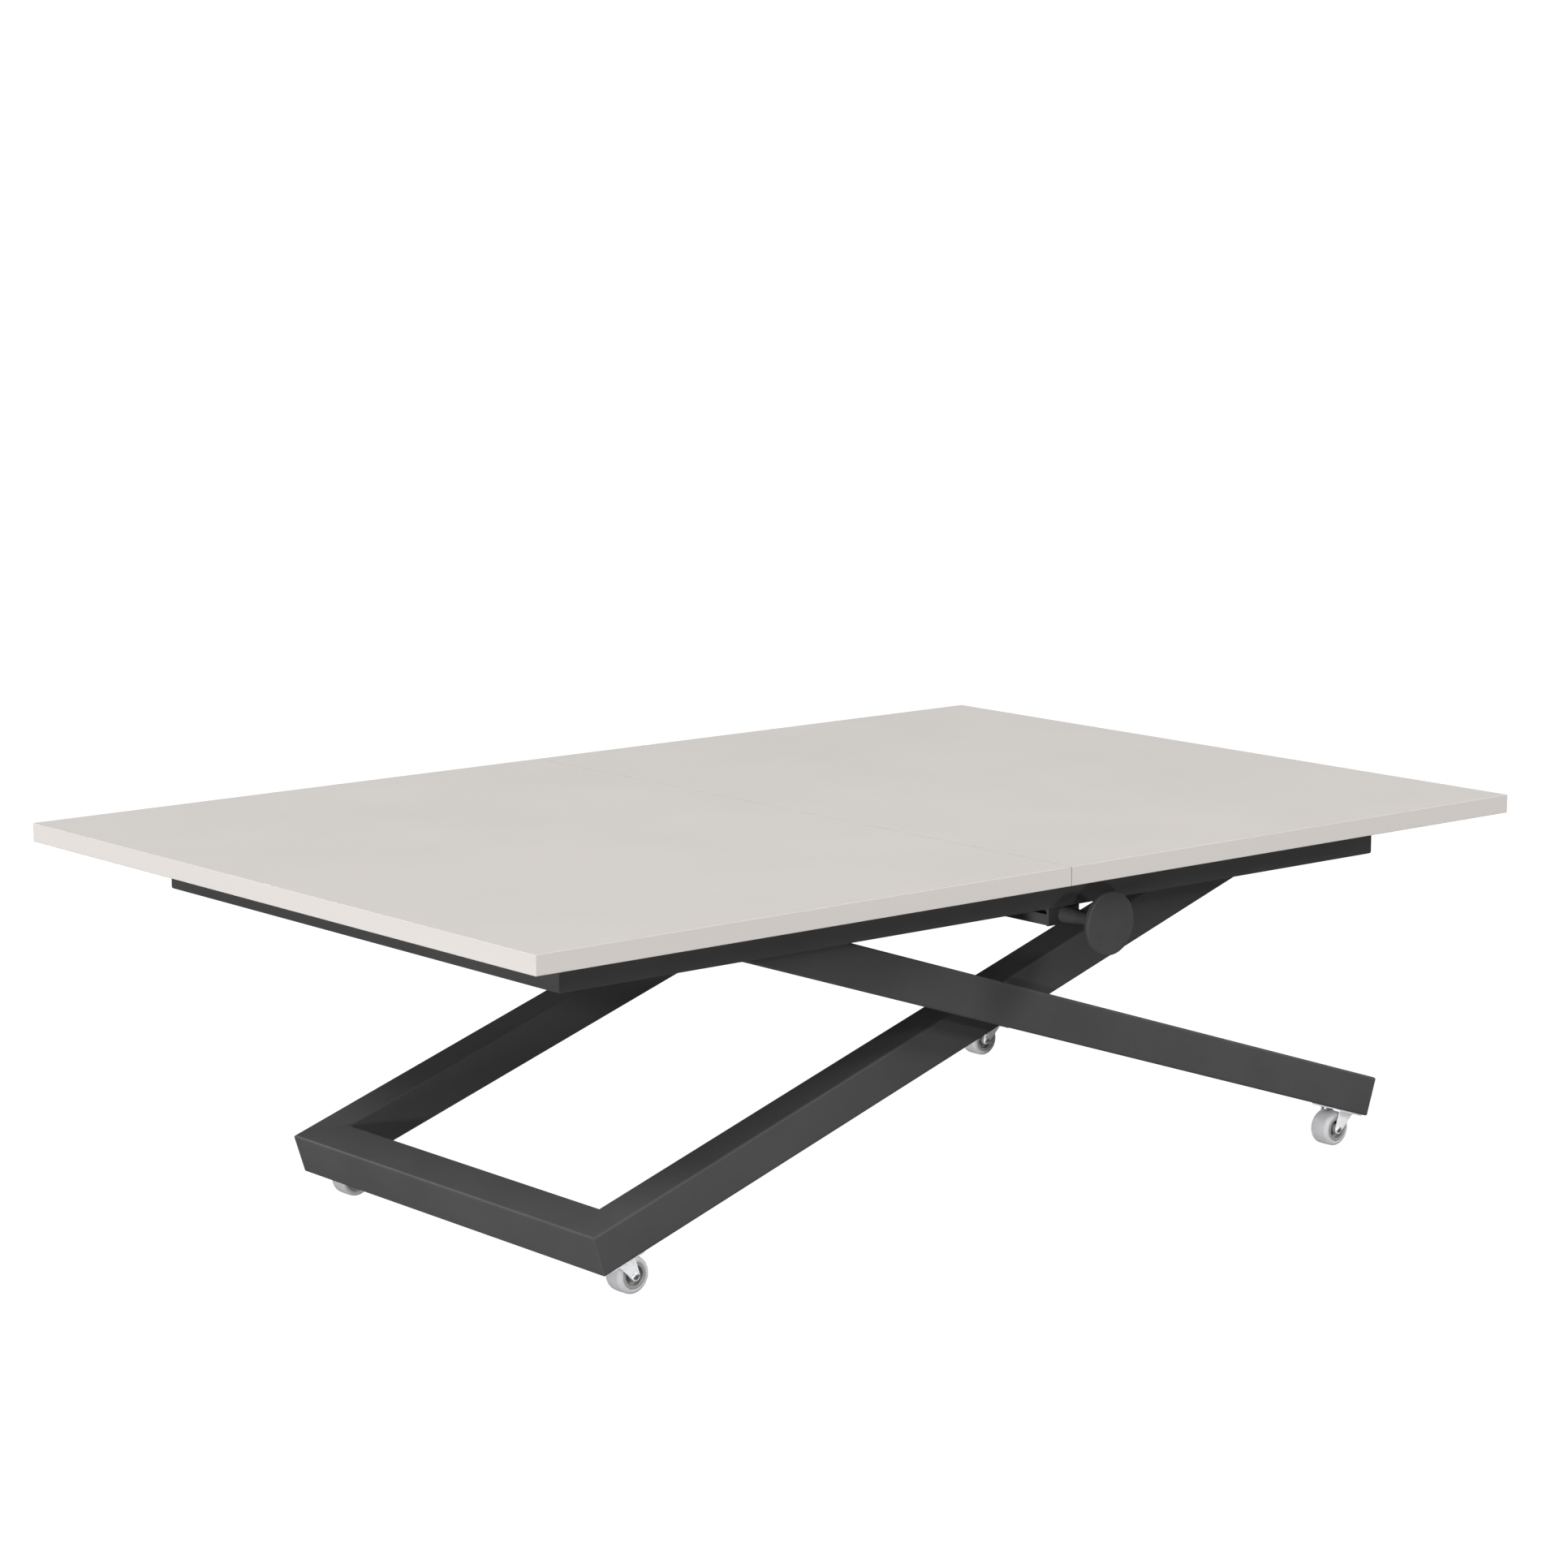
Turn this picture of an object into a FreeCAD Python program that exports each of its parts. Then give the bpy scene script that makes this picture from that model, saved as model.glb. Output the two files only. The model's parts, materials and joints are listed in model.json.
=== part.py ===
# Coffee table that lifts to dining height on scissor legs, with a split top that slides apart.
# Millimetres: +X along the long side, +Y to the back, +Z up, origin on the floor under the top's middle.
import FreeCAD
import Part
import Sketcher
import os
import re

doc = FreeCAD.newDocument("lift_table")
sheet = doc.addObject("Spreadsheet::Sheet", "Sizes")

# Driving dimensions, in millimetres and degrees.
sizes = {
    # Split top
    "top_length": 1200,  # both halves closed
    "top_width": 800,
    "top_thickness": 18,
    "seam_gap": 0.5,  # between the closed halves
    "band_thickness": 1,  # edge banding
    "band_round": 0.6,
    "slide_share": 0.2,  # travel of each half, of the frame's length
    "dowel_radius": 4,
    "dowel_length": 40,
    "dowel_spacing": 250,
    "dowel_play": 0.08,
    "dowel_spare": 2,  # empty end of a dowel's hole
    # Button glides under the halves
    "glide_share": 0.06,  # nearer glides from the seam, of the frame's length
    "glide_radius": 9,
    "glide_play": 0.2,
    "neck_radius": 3.6,
    "foot_radius": 6.6,
    "foot_thickness": 3,
    "screw_hole_radius": 2,
    "slot_play": 0.4,
    "entry_shift": 20,  # where a foot drops into its slot, past the closed place
    "entry_play": 0.6,
    # Frame under the top
    "overhang": 94,
    "rail_gap": 3.5,  # top's underside to the rails
    "rail_height": 40,
    "rail_width": 20,
    "rail_wall": 1.5,
    "rail_round": 2,
    # Scissor legs
    "leg_angle": 18.3,  # at the lowest height
    "lift_turn": 32,
    "leg_tube": 40,
    "leg_wall": 2,
    "leg_round": 2.5,
    "cross_shift": 68,  # crossing from the top's middle
    "lower_arm": 471,
    "slider_margin": 47.7,  # slider bar to the right rail
    "inner_tail": 36,  # tube past the axle
    "outer_tail": 30,
    "head_tail": 8,  # tube past the upper pivot
    "side_gap": 4.4,  # rail to outer leg
    "leg_gap": 4.8,  # outer leg to inner leg
    "plug_flange": 2,
    "plug_depth": 14,
    "plug_wall": 2,  # each tongue
    "plug_play": 0.1,
    # Pivots
    "bolt_radius": 5,
    "bolt_head_radius": 9,
    "bolt_head": 5,
    "bush_radius": 7,
    "bush_flange_radius": 11,
    "bush_flange": 1.5,
    "pivot_play": 0.05,
    "face_play": 0.3,
    "nut_radius": 8,
    "nut_length": 10,
    # Sliding end
    "slider_radius": 6,
    "roller_radius": 12,
    "roller_width": 16,
    "roller_edge": 1,
    "track_wall": 2,
    "track_depth": 24,
    "track_play": 0.3,
    "track_spare": 12,
    "roller_inset": 5,  # rail face to roller
    "buffer_thickness": 6,
    "spacer_radius": 9,
    # Casters
    "wheel_radius": 17.5,
    "wheel_width": 22,
    "tyre_round": 4,
    "rim_radius": 12.5,
    "hub_radius": 5.5,
    "hub_recess": 6,
    "hub_rim": 3,
    "fork_drop": 20,  # leg face to axle
    "fork_sheet": 1.5,
    "fork_play": 0.8,
    "fork_length": 42,
    "fork_width": 36,
    "arm_width": 19,
    "arm_end_radius": 4.5,
    "axle_radius": 2.5,
    "rivet_radius": 3.6,
    "rivet_head": 1.2,
    "screw_reach": 17,  # caster screws from the plate's middle
    "screw_radius": 2,
    "screw_head_radius": 3.6,
    "screw_head": 2,
    "screw_length": 8,
    # Release under the front rail
    "knob_shift": 90,
    "knob_radius": 30,
    "knob_thickness": 6,
    "knob_round": 2,
    "knob_reach": 54.5,  # knob's face past the rail's face
    "stem_radius": 6,
    "stem_taper": 28,
    "knob_play": 0.4,
    "hanger_width": 40,
    "hanger_height": 18.5,
    "hanger_sheet": 3,
    "channel_height": 11,
    "channel_wall": 2,
    "shaft_radius": 4,
    "shaft_drop": 8.8,  # rail's underside to the shaft
    "shaft_end": 2,
    "lever_reach": 23.5,
    "lever_rise": 24,
    "lever_thickness": 5,
    "lever_width": 10,
    "lever_hub_radius": 7,
    # Gas spring
    "spring_arm": 120,  # fixed pivot to the spring's bar
    "spring_bar_radius": 10,
    "spring_bar_wall": 2,
    "eye_slack": 5.2,
    "eye_wall": 4,
    "eye_width": 16,
    "eye_shank_radius": 6,
    "eye_shank": 4,
    "cylinder_radius": 11,
    "cylinder_wall": 1.5,
    "cylinder_cap": 5,
    "guide_depth": 8,
    "guide_lip": 3,
    "rod_radius": 5,
    "piston_width": 12,
    "rod_out": 39.5,  # rod between the guide and the head when lowered
    "piston_share": 0.43,  # piston's way to the guide, of its room in the cylinder
    "head_rise": 10,  # spring's head above the rails' underside
    "head_radius": 9,
    "head_back": 26,
    "head_front": 12,
    "head_socket": 16,
    "trunnion_radius": 4,
    "valve_radius": 3,
    "valve_out": 6,
    "ear_gap": 22,
    "ear_sheet": 3,
    "ear_width": 24,
    "ear_margin": 10,
    "ear_foot": 16,
    # Cuts run past the faces that they open
    "overrun": 5,
}

# Sizes and places worked out from the driving dimensions.
derived = {
    "leg_half": "leg_tube / 2",
    "frame_length": "top_length - 2 * overhang",
    "frame_width": "top_width - 2 * overhang",
    "upper_reach": "frame_length / 2 - rail_width - slider_margin - cross_shift",
    "upper_arm": "upper_reach / cos(leg_angle)",
    "rise": "lower_arm * sin(leg_angle) + (leg_half + fork_drop) * cos(leg_angle)",
    "cross_z": "wheel_radius + rise",
    "pivot_z": "cross_z + upper_arm * sin(leg_angle)",
    "rail_z": "pivot_z - rail_height / 2",
    "under_z": "rail_z + rail_height + rail_gap",
    "fixed_x": "cross_shift - upper_reach",
    "slider_x": "cross_shift + upper_reach",
    "slider_travel": "2 * upper_arm * (cos(leg_angle) - cos(leg_angle + lift_turn))",
    "rail_y": "(frame_width - rail_width) / 2",
    "rail_face": "frame_width / 2 - rail_width",
    "outer_y": "rail_face - side_gap - leg_half",
    "inner_y": "outer_y - leg_tube - leg_gap",
    "half_length": "(top_length - seam_gap) / 2",
    "slide_travel": "slide_share * frame_length",
    "glide_near": "glide_share * frame_length",
    "glide_far": "glide_near + slide_travel",
    "axle_x": "lower_arm * cos(leg_angle) - (leg_half + fork_drop) * sin(leg_angle)",
    "head_end": "upper_arm + head_tail",
    "hanger_z": "rail_z - hanger_height",
    "shaft_z": "rail_z - shaft_drop",
    "hanger_face": "rail_y + hanger_sheet / 2",
    "stem_base_radius": "shaft_drop - knob_play",
    "head_z": "rail_z + head_rise",
    "bar_x": "fixed_x + spring_arm * cos(leg_angle)",
    "bar_z": "pivot_z - spring_arm * sin(leg_angle)",
    "spring_tilt": "atan((head_z - bar_z) / (knob_shift - bar_x))",
    "spring_length": "sqrt(pow(head_z - bar_z; 2) + pow(knob_shift - bar_x; 2))",
    "eye_radius": "spring_bar_radius + eye_slack + eye_wall",
    "cylinder_back": "spring_length - eye_radius - eye_shank",
    "cylinder_front": "head_back + rod_out + guide_lip",
    "bore_radius": "cylinder_radius - cylinder_wall",
    "piston_room": "cylinder_back - cylinder_front - guide_depth - cylinder_cap - piston_width",
    "piston_gap": "piston_share * piston_room",
    "track_height": "2 * (roller_radius + track_play + track_wall)",
    "track_low_x": "slider_x - slider_travel - roller_radius - track_spare",
    "track_high_x": "slider_x + roller_radius + track_play + buffer_thickness",
    "arm_face": "wheel_width / 2 + fork_play",
    "fork_x": "arm_end_radius - arm_width / 2 - lower_arm",
}

for row, (alias, value) in enumerate(sizes.items(), 1):
    sheet.set(f"A{row}", alias)
    sheet.set(f"B{row}", str(value))
    sheet.setAlias(f"B{row}", alias)
doc.recompute()

nodes = []


def ex(text):
    """Turns a sum of named sizes into an expression on the spreadsheet's cells."""

    def swap(found):
        name = found.group(0)
        if name in derived:
            return "(" + ex(derived[name]) + ")"
        if name in sizes:
            return "Sizes." + name
        return name

    return re.sub(r"[a-z][a-z_0-9]*", swap, str(text))


def number(text):
    return float(sheet.evalExpression(ex(text)))


def place(item, x="0", y="0", z="0", yaw="0", pitch="0"):
    """Binds a piece's place: yaw turns it about Z, then pitch tips its local X down."""
    spot = f"vector({ex(x)}; {ex(y)}; {ex(z)})"
    item.setExpression("Placement", f"placement({spot}; rotation({ex(yaw)}; {ex(pitch)}; 0))")


def leg_place(item, frame):
    """Local X runs up the leg from the crossing; the outer frame is the inner one turned half round."""
    yaw = {"inner": "0", "outer": "180"}[frame]
    place(item, "cross_shift", "0", "cross_z", yaw, "-leg_angle")


def spring_place(item):
    """Local X runs up the spring from its bar to its head, with the head's pivot at the origin."""
    place(item, "knob_shift", "0", "head_z", "0", "-spring_tilt")


def node(item, label):
    item.Label = label
    nodes.append(item)
    return item


def group(label, pieces):
    """Identical pieces that share one node."""
    bundle = doc.addObject("Part::Compound", label)
    bundle.Links = pieces
    return node(bundle, label)


def new_body(name):
    body = doc.addObject("PartDesign::Body", name)
    body.Label = name + "_body"
    return body


def new_sketch(body, plane, offset="0"):
    """A sketch on one of the body's own planes; offset is along +Z, +Y or +X."""
    sketch = body.newObject("Sketcher::SketchObject", body.Name + "_sketch")
    support = [item for item in body.Origin.OriginFeatures if item.Role == plane + "_Plane"][0]
    sketch.AttachmentSupport = [(support, "")]
    sketch.MapMode = "FlatFace"
    along = f"-({offset})" if plane == "XZ" else offset
    sketch.setExpression("AttachmentOffset.Base.z", ex(along))
    return sketch


def bind(sketch, constraint, value):
    row = sketch.addConstraint(constraint)
    sketch.setExpression(f"Constraints[{row}]", ex(value))


def fix(sketch, geometry, point, x, y):
    bind(sketch, Sketcher.Constraint("DistanceX", -1, 1, geometry, point, number(x)), x)
    bind(sketch, Sketcher.Constraint("DistanceY", -1, 1, geometry, point, number(y)), y)


def polygon(sketch, points):
    first = sketch.GeometryCount
    spots = [FreeCAD.Vector(number(x), number(y), 0) for x, y in points]
    for start, end in zip(spots, spots[1:] + spots[:1]):
        sketch.addGeometry(Part.LineSegment(start, end))
    for index, (x, y) in enumerate(points):
        before = first + (index - 1) % len(points)
        sketch.addConstraint(Sketcher.Constraint("Coincident", before, 2, first + index, 1))
        fix(sketch, first + index, 1, x, y)


def rectangle(sketch, low_x, low_y, high_x, high_y):
    polygon(sketch, [(low_x, low_y), (high_x, low_y), (high_x, high_y), (low_x, high_y)])


def circle(sketch, x, y, radius):
    spot = FreeCAD.Vector(number(x), number(y), 0)
    row = sketch.addGeometry(Part.Circle(spot, FreeCAD.Vector(0, 0, 1), number(radius)))
    fix(sketch, row, 3, x, y)
    bind(sketch, Sketcher.Constraint("Radius", row, number(radius)), radius)


def round_box(sketch, x, y, wide, high, radius):
    """A rectangle about (x, y) with rounded corners: four sides tangent to four corner arcs."""
    first = sketch.GeometryCount
    corners = [(1, -1), (1, 1), (-1, 1), (-1, -1)]
    middles = []
    for side_x, side_y in corners:
        middle_x = f"({x}) + {side_x} * (({wide}) / 2 - ({radius}))"
        middle_y = f"({y}) + {side_y} * (({high}) / 2 - ({radius}))"
        middles.append((middle_x, middle_y))
    quarter = FreeCAD.Units.parseQuantity("90 deg").getValueAs("rad").Value
    reach = number(radius)
    for index, (middle_x, middle_y) in enumerate(middles):
        centre = FreeCAD.Vector(number(middle_x), number(middle_y), 0)
        whole = Part.Circle(centre, FreeCAD.Vector(0, 0, 1), reach)
        sketch.addGeometry(Part.ArcOfCircle(whole, (index - 1) * quarter, index * quarter))
    for index in range(4):
        start = sketch.getPoint(first + index, 2)
        end = sketch.getPoint(first + (index + 1) % 4, 1)
        sketch.addGeometry(Part.LineSegment(start, end))
    for index, (middle_x, middle_y) in enumerate(middles):
        line = first + 4 + index
        after = first + (index + 1) % 4
        sketch.addConstraint(Sketcher.Constraint("Tangent", first + index, 2, line, 1))
        sketch.addConstraint(Sketcher.Constraint("Tangent", line, 2, after, 1))
        fix(sketch, first + index, 3, middle_x, middle_y)
        bind(sketch, Sketcher.Constraint("Radius", first + index, reach), radius)


def pad(body, sketch, length, both_ways=False, turned_round=False):
    feature = body.newObject("PartDesign::Pad", body.Name + "_pad")
    feature.Profile = sketch
    feature.SideType = "Symmetric" if both_ways else "One side"
    feature.Reversed = turned_round
    feature.setExpression("Length", ex(length))
    doc.recompute()


def pocket(body, sketch, length=None, turned_round=False):
    """Cuts from the sketch plane, or right through both ways when no length is given."""
    before = body.Shape.Volume
    feature = body.newObject("PartDesign::Pocket", body.Name + "_pocket")
    feature.Profile = sketch
    feature.Reversed = turned_round
    if length is None:
        feature.Type = "ThroughAll"
        feature.SideType = "Symmetric"
    else:
        feature.setExpression("Length", ex(length))
    doc.recompute()
    if not body.Shape.Volume < before:
        raise RuntimeError(f"{feature.Name} cuts nothing")


def turn(name, profile, plane="XY", axis="V_Axis"):
    """A turned piece: the outline of its half section, swept round an axis of its sketch."""
    body = new_body(name)
    sketch = new_sketch(body, plane)
    polygon(sketch, profile)
    feature = body.newObject("PartDesign::Revolution", name + "_turn")
    feature.Profile = sketch
    feature.ReferenceAxis = (sketch, [axis])
    feature.Angle = 360
    doc.recompute()
    return body


def round_edges(body, radius, wanted):
    """Rounds the edges of the body that the test picks out."""
    shape = body.Shape
    names = [f"Edge{row}" for row, edge in enumerate(shape.Edges, 1) if wanted(edge)]
    base = body.Tip
    feature = body.newObject("PartDesign::Fillet", body.Name + "_round")
    feature.Base = (base, names)
    feature.setExpression("Radius", ex(radius))
    doc.recompute()


def on_each_side(label, make):
    """One piece for the front and one for the back, as one node."""
    return group(label, [make(f"{label}_{name}", yaw) for name, yaw in (("front", "180"), ("back", "0"))])


# Split top

def board(label, side):
    """Half of the top without its banding; side is -1 for the left half."""
    body = new_body(label)
    sketch = new_sketch(body, "XY")
    inner = "seam_gap / 2 + band_thickness"
    outer = "top_length / 2 - band_thickness"
    reach = "top_width / 2 - band_thickness"
    rectangle(sketch, f"{side} * ({inner})", f"-({reach})", f"{side} * ({outer})", reach)
    pad(body, sketch, "top_thickness")
    dowel_holes(body, side)
    place(body, z="under_z")
    return node(body, label)


def dowel_holes(body, side):
    sketch = new_sketch(body, "YZ")
    for step in (-1, 0, 1):
        circle(sketch, f"{step} * dowel_spacing", "top_thickness / 2", "dowel_radius + dowel_play")
    pocket(body, sketch, "dowel_length / 2 + dowel_spare", turned_round=side > 0)


def edge_band(label, side):
    """Banding round one half: a thin upright loop with eased corners."""
    body = new_body(label)
    middle = f"{side} * (seam_gap / 2 + half_length / 2)"
    sketch = new_sketch(body, "XY")
    inner_length = "half_length - 2 * band_thickness"
    inner_width = "top_width - 2 * band_thickness"
    for long, wide in (("half_length", "top_width"), (inner_length, inner_width)):
        low_x = f"{middle} - ({long}) / 2"
        high_x = f"{middle} + ({long}) / 2"
        rectangle(sketch, low_x, f"-({wide}) / 2", high_x, f"({wide}) / 2")
    pad(body, sketch, "top_thickness")
    slack = number("band_thickness / 2")

    def rim(edge):
        box = edge.BoundBox
        inside_x = number(inner_length) / 2 + slack
        inside_y = number(inner_width) / 2 + slack
        off_x = abs(box.Center.x - number(middle))
        return off_x > inside_x or abs(box.Center.y) > inside_y

    round_edges(body, "band_round", rim)
    dowel_holes(body, side)
    place(body, z="under_z")
    return node(body, label)


def dowel(name, y):
    half = "dowel_length / 2"
    body = turn(name, [(f"-{half}", "0"), (half, "0"), (half, "dowel_radius"), (f"-{half}", "dowel_radius")],
                "XY", "H_Axis")
    place(body, "0", y, "under_z + top_thickness / 2")
    return body


def glide(name, x, y):
    """Nylon button: a flange on the rail, a neck in the slot and a foot under the wall."""
    top = "rail_gap"
    wall_low = "-rail_wall - glide_play"
    body = turn(name, [
        ("screw_hole_radius", top), ("glide_radius", top), ("glide_radius", "glide_play"),
        ("neck_radius", "glide_play"), ("neck_radius", wall_low), ("foot_radius", wall_low),
        ("foot_radius", f"{wall_low} - foot_thickness"),
        ("screw_hole_radius", f"{wall_low} - foot_thickness"),
    ], "XZ")
    place(body, x, y, "rail_z + rail_height")
    return body


def glides(label, side):
    pieces = []
    for row, (x, y) in enumerate((x, y) for x in ("glide_near", "glide_far") for y in ("-rail_y", "rail_y")):
        pieces.append(glide(f"{label}_{row}", f"{side} * ({x})", y))
    return group(label, pieces)


board("top_left", -1)
board("top_right", 1)
edge_band("edge_band_left", -1)
edge_band("edge_band_right", 1)
group("seam_dowels", [dowel(f"seam_dowel_{step + 1}", f"{step} * dowel_spacing") for step in (-1, 0, 1)])
glides("glides_left", -1)
glides("glides_right", 1)

# Frame under the top

def mitre(body, x, y, way_x, way_y, deep, along):
    """Cuts an end on a slant from its outer corner (x, y); along is the axis that the piece runs on."""
    out_x = f"{x} + {way_x} * overrun"
    out_y = f"{y} + {way_y} * overrun"
    in_x = f"{x} - {way_x} * ({deep} + overrun)"
    in_y = f"{y} - {way_y} * ({deep} + overrun)"
    waste = {"x": (out_x, in_y), "y": (in_x, out_y)}[along]
    sketch = new_sketch(body, "XY")
    polygon(sketch, [(out_x, out_y), (in_x, in_y), waste])
    pocket(body, sketch)


def tube_section(sketch, x, y, wide, high, wall, corner):
    round_box(sketch, x, y, wide, high, corner)
    round_box(sketch, x, y, f"({wide}) - 2 * {wall}", f"({high}) - 2 * {wall}", f"{corner} - {wall}")


def long_rail(label, side):
    """Front or back rail, with a slot in its top wall for the glides of each half."""
    body = new_body(label)
    sketch = new_sketch(body, "YZ")
    tube_section(sketch, "0", "0", "rail_width", "rail_height", "rail_wall", "rail_round")
    pad(body, sketch, "frame_length", both_ways=True)
    for end in (-1, 1):
        mitre(body, f"{end} * frame_length / 2", f"{side} * rail_width / 2", end, side, "rail_width", "x")
    slots = new_sketch(body, "XY")
    entries = new_sketch(body, "XY")
    for half in (-1, 1):
        near = f"{half} * (glide_near - entry_shift)"
        far = f"{half} * (glide_far + slide_travel + neck_radius + slot_play)"
        low, high = (far, near) if half < 0 else (near, far)
        rectangle(slots, low, "-(neck_radius + slot_play)", high, "neck_radius + slot_play")
        for glide_x in ("glide_near", "glide_far"):
            circle(entries, f"{half} * ({glide_x} - entry_shift)", "0", "foot_radius + entry_play")
    pocket(body, slots, "rail_height", turned_round=True)
    pocket(body, entries, "rail_height", turned_round=True)
    hole = new_sketch(body, "XZ")
    circle(hole, "fixed_x", "0", "bolt_radius + pivot_play")
    pocket(body, hole, "rail_width", turned_round=side > 0)
    place(body, "0", f"{side} * rail_y", "rail_z + rail_height / 2")
    return node(body, label)


def end_rail(label, side):
    body = new_body(label)
    sketch = new_sketch(body, "XZ")
    tube_section(sketch, "0", "0", "rail_width", "rail_height", "rail_wall", "rail_round")
    pad(body, sketch, "frame_width", both_ways=True)
    for end in (-1, 1):
        mitre(body, f"{side} * rail_width / 2", f"{end} * frame_width / 2", side, end, "rail_width", "y")
    place(body, f"{side} * (frame_length - rail_width) / 2", "0", "rail_z + rail_height / 2")
    return node(body, label)


def track(label, side):
    """Channel on the inside of a long rail, open towards the middle, for the rollers."""
    body = new_body(label)
    sketch = new_sketch(body, "YZ", "track_low_x")
    half = "track_height / 2"
    face = f"{side} * rail_face"
    lip = f"{side} * (rail_face - track_depth)"
    web = f"{side} * (rail_face - track_wall)"
    polygon(sketch, [
        (face, f"-{half}"), (face, half), (lip, half), (lip, f"{half} - track_wall"),
        (web, f"{half} - track_wall"), (web, f"track_wall - {half}"), (lip, f"track_wall - {half}"),
        (lip, f"-{half}"),
    ])
    pad(body, sketch, "track_high_x - track_low_x")
    place(body, z="pivot_z")
    return node(body, label)


def track_buffer(name, yaw):
    """Rubber block that stops a roller at the end of its track."""
    body = new_body(name)
    side = "-1" if yaw == "180" else "1"
    sketch = new_sketch(body, "XY")
    low = f"{side} * (rail_face - track_depth)"
    high = f"{side} * (rail_face - track_wall)"
    rectangle(sketch, "track_high_x - buffer_thickness", low, "track_high_x", high)
    pad(body, sketch, "track_height - 2 * track_wall", both_ways=True)
    place(body, z="pivot_z")
    return body


def pivot_bolt(name, yaw, inner_face, outer_face, x, z):
    """Shoulder bolt from inside: head, then shank to its nut behind the outer face."""
    start = f"{inner_face} - bush_flange - face_play"
    body = turn(name, [
        ("0", f"{start} - bolt_head"),
        ("bolt_head_radius", f"{start} - bolt_head"), ("bolt_head_radius", start),
        ("bolt_radius", start), ("bolt_radius", f"{outer_face} + nut_length"),
        ("0", f"{outer_face} + nut_length"),
    ])
    place(body, x, "0", z, yaw)
    return body


def rivet_nut(name, yaw, inside_face, x, z):
    body = turn(name, [
        ("bolt_radius + pivot_play", inside_face), ("nut_radius", inside_face),
        ("nut_radius", f"{inside_face} + nut_length"),
        ("bolt_radius + pivot_play", f"{inside_face} + nut_length"),
    ])
    place(body, x, "0", z, yaw)
    return body


def pivot_bush(name, yaw, leg_y, gap, x, z):
    """Nylon bush through a leg: a flange under the bolt's head and a collar in the gap beside the leg."""
    bore = "bolt_radius + pivot_play"
    skin = "bush_radius - pivot_play"
    low = f"{leg_y} - leg_half"
    high = f"{leg_y} + leg_half"
    body = turn(name, [
        (bore, f"{low} - bush_flange"),
        ("bush_flange_radius", f"{low} - bush_flange"), ("bush_flange_radius", low),
        (skin, low), (skin, high), ("bush_flange_radius", high),
        ("bush_flange_radius", f"{high} + {gap} - face_play"),
        (bore, f"{high} + {gap} - face_play"),
    ])
    place(body, x, "0", z, yaw)
    return body


def hanger(name, yaw):
    """Plate under a long rail that carries the release channel and, in front, the shaft."""
    body = new_body(name)
    sketch = new_sketch(body, "XZ", "rail_y")
    rectangle(sketch, "-hanger_width / 2", "-hanger_height", "hanger_width / 2", "0")
    circle(sketch, "0", "-shaft_drop", "shaft_radius + pivot_play")
    pad(body, sketch, "hanger_sheet", both_ways=True)
    place(body, "knob_shift", "0", "rail_z", yaw)
    return body


def release_channel(label):
    """Shallow channel, open upwards, from the front hanger to the back one."""
    body = new_body(label)
    sketch = new_sketch(body, "XZ")
    half = "hanger_width / 2"
    polygon(sketch, [
        (f"-{half}", "0"), (half, "0"), (half, "channel_height"),
        (f"{half} - channel_wall", "channel_height"),
        (f"{half} - channel_wall", "channel_wall"), (f"channel_wall - {half}", "channel_wall"),
        (f"channel_wall - {half}", "channel_height"), (f"-{half}", "channel_height"),
    ])
    pad(body, sketch, "2 * rail_y - hanger_sheet", both_ways=True)
    place(body, "knob_shift", "0", "hanger_z")
    return node(body, label)


def spring_ear(name, yaw):
    """Ear with a foot in the channel; the two carry the spring's head and the shaft's inner end."""
    body = new_body(name)
    sketch = new_sketch(body, "YZ")
    foot = "hanger_z + channel_wall - head_z"
    inside = "ear_gap / 2"
    polygon(sketch, [
        (inside, foot), (f"{inside} + ear_foot", foot), (f"{inside} + ear_foot", f"{foot} + ear_sheet"),
        (f"{inside} + ear_sheet", f"{foot} + ear_sheet"), (f"{inside} + ear_sheet", "ear_margin"),
        (inside, "ear_margin"),
    ])
    pad(body, sketch, "ear_width", both_ways=True)
    holes = new_sketch(body, "XZ")
    circle(holes, "0", "0", "trunnion_radius + pivot_play")
    circle(holes, "0", "shaft_z - head_z", "shaft_radius + pivot_play")
    pocket(body, holes)
    place(body, "knob_shift", "0", "head_z", yaw)
    return body


long_rail("rail_front", -1)
long_rail("rail_back", 1)
end_rail("rail_left", -1)
end_rail("rail_right", 1)
track("track_front", -1)
track("track_back", 1)
on_each_side("track_buffers", track_buffer)
on_each_side("hangers", hanger)
release_channel("release_channel")
on_each_side("spring_ears", spring_ear)
on_each_side("top_pivot_bolts", lambda name, yaw: pivot_bolt(
    name, yaw, "outer_y - leg_half", "rail_face + rail_wall", "fixed_x", "pivot_z"))
on_each_side("top_pivot_nuts", lambda name, yaw: rivet_nut(
    name, yaw, "rail_face + rail_wall", "fixed_x", "pivot_z"))

# Scissor leg frames

leg_rows = {"inner": "inner_y", "outer": "outer_y"}
leg_tails = {"inner": "lower_arm + inner_tail", "outer": "lower_arm + outer_tail"}


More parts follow.
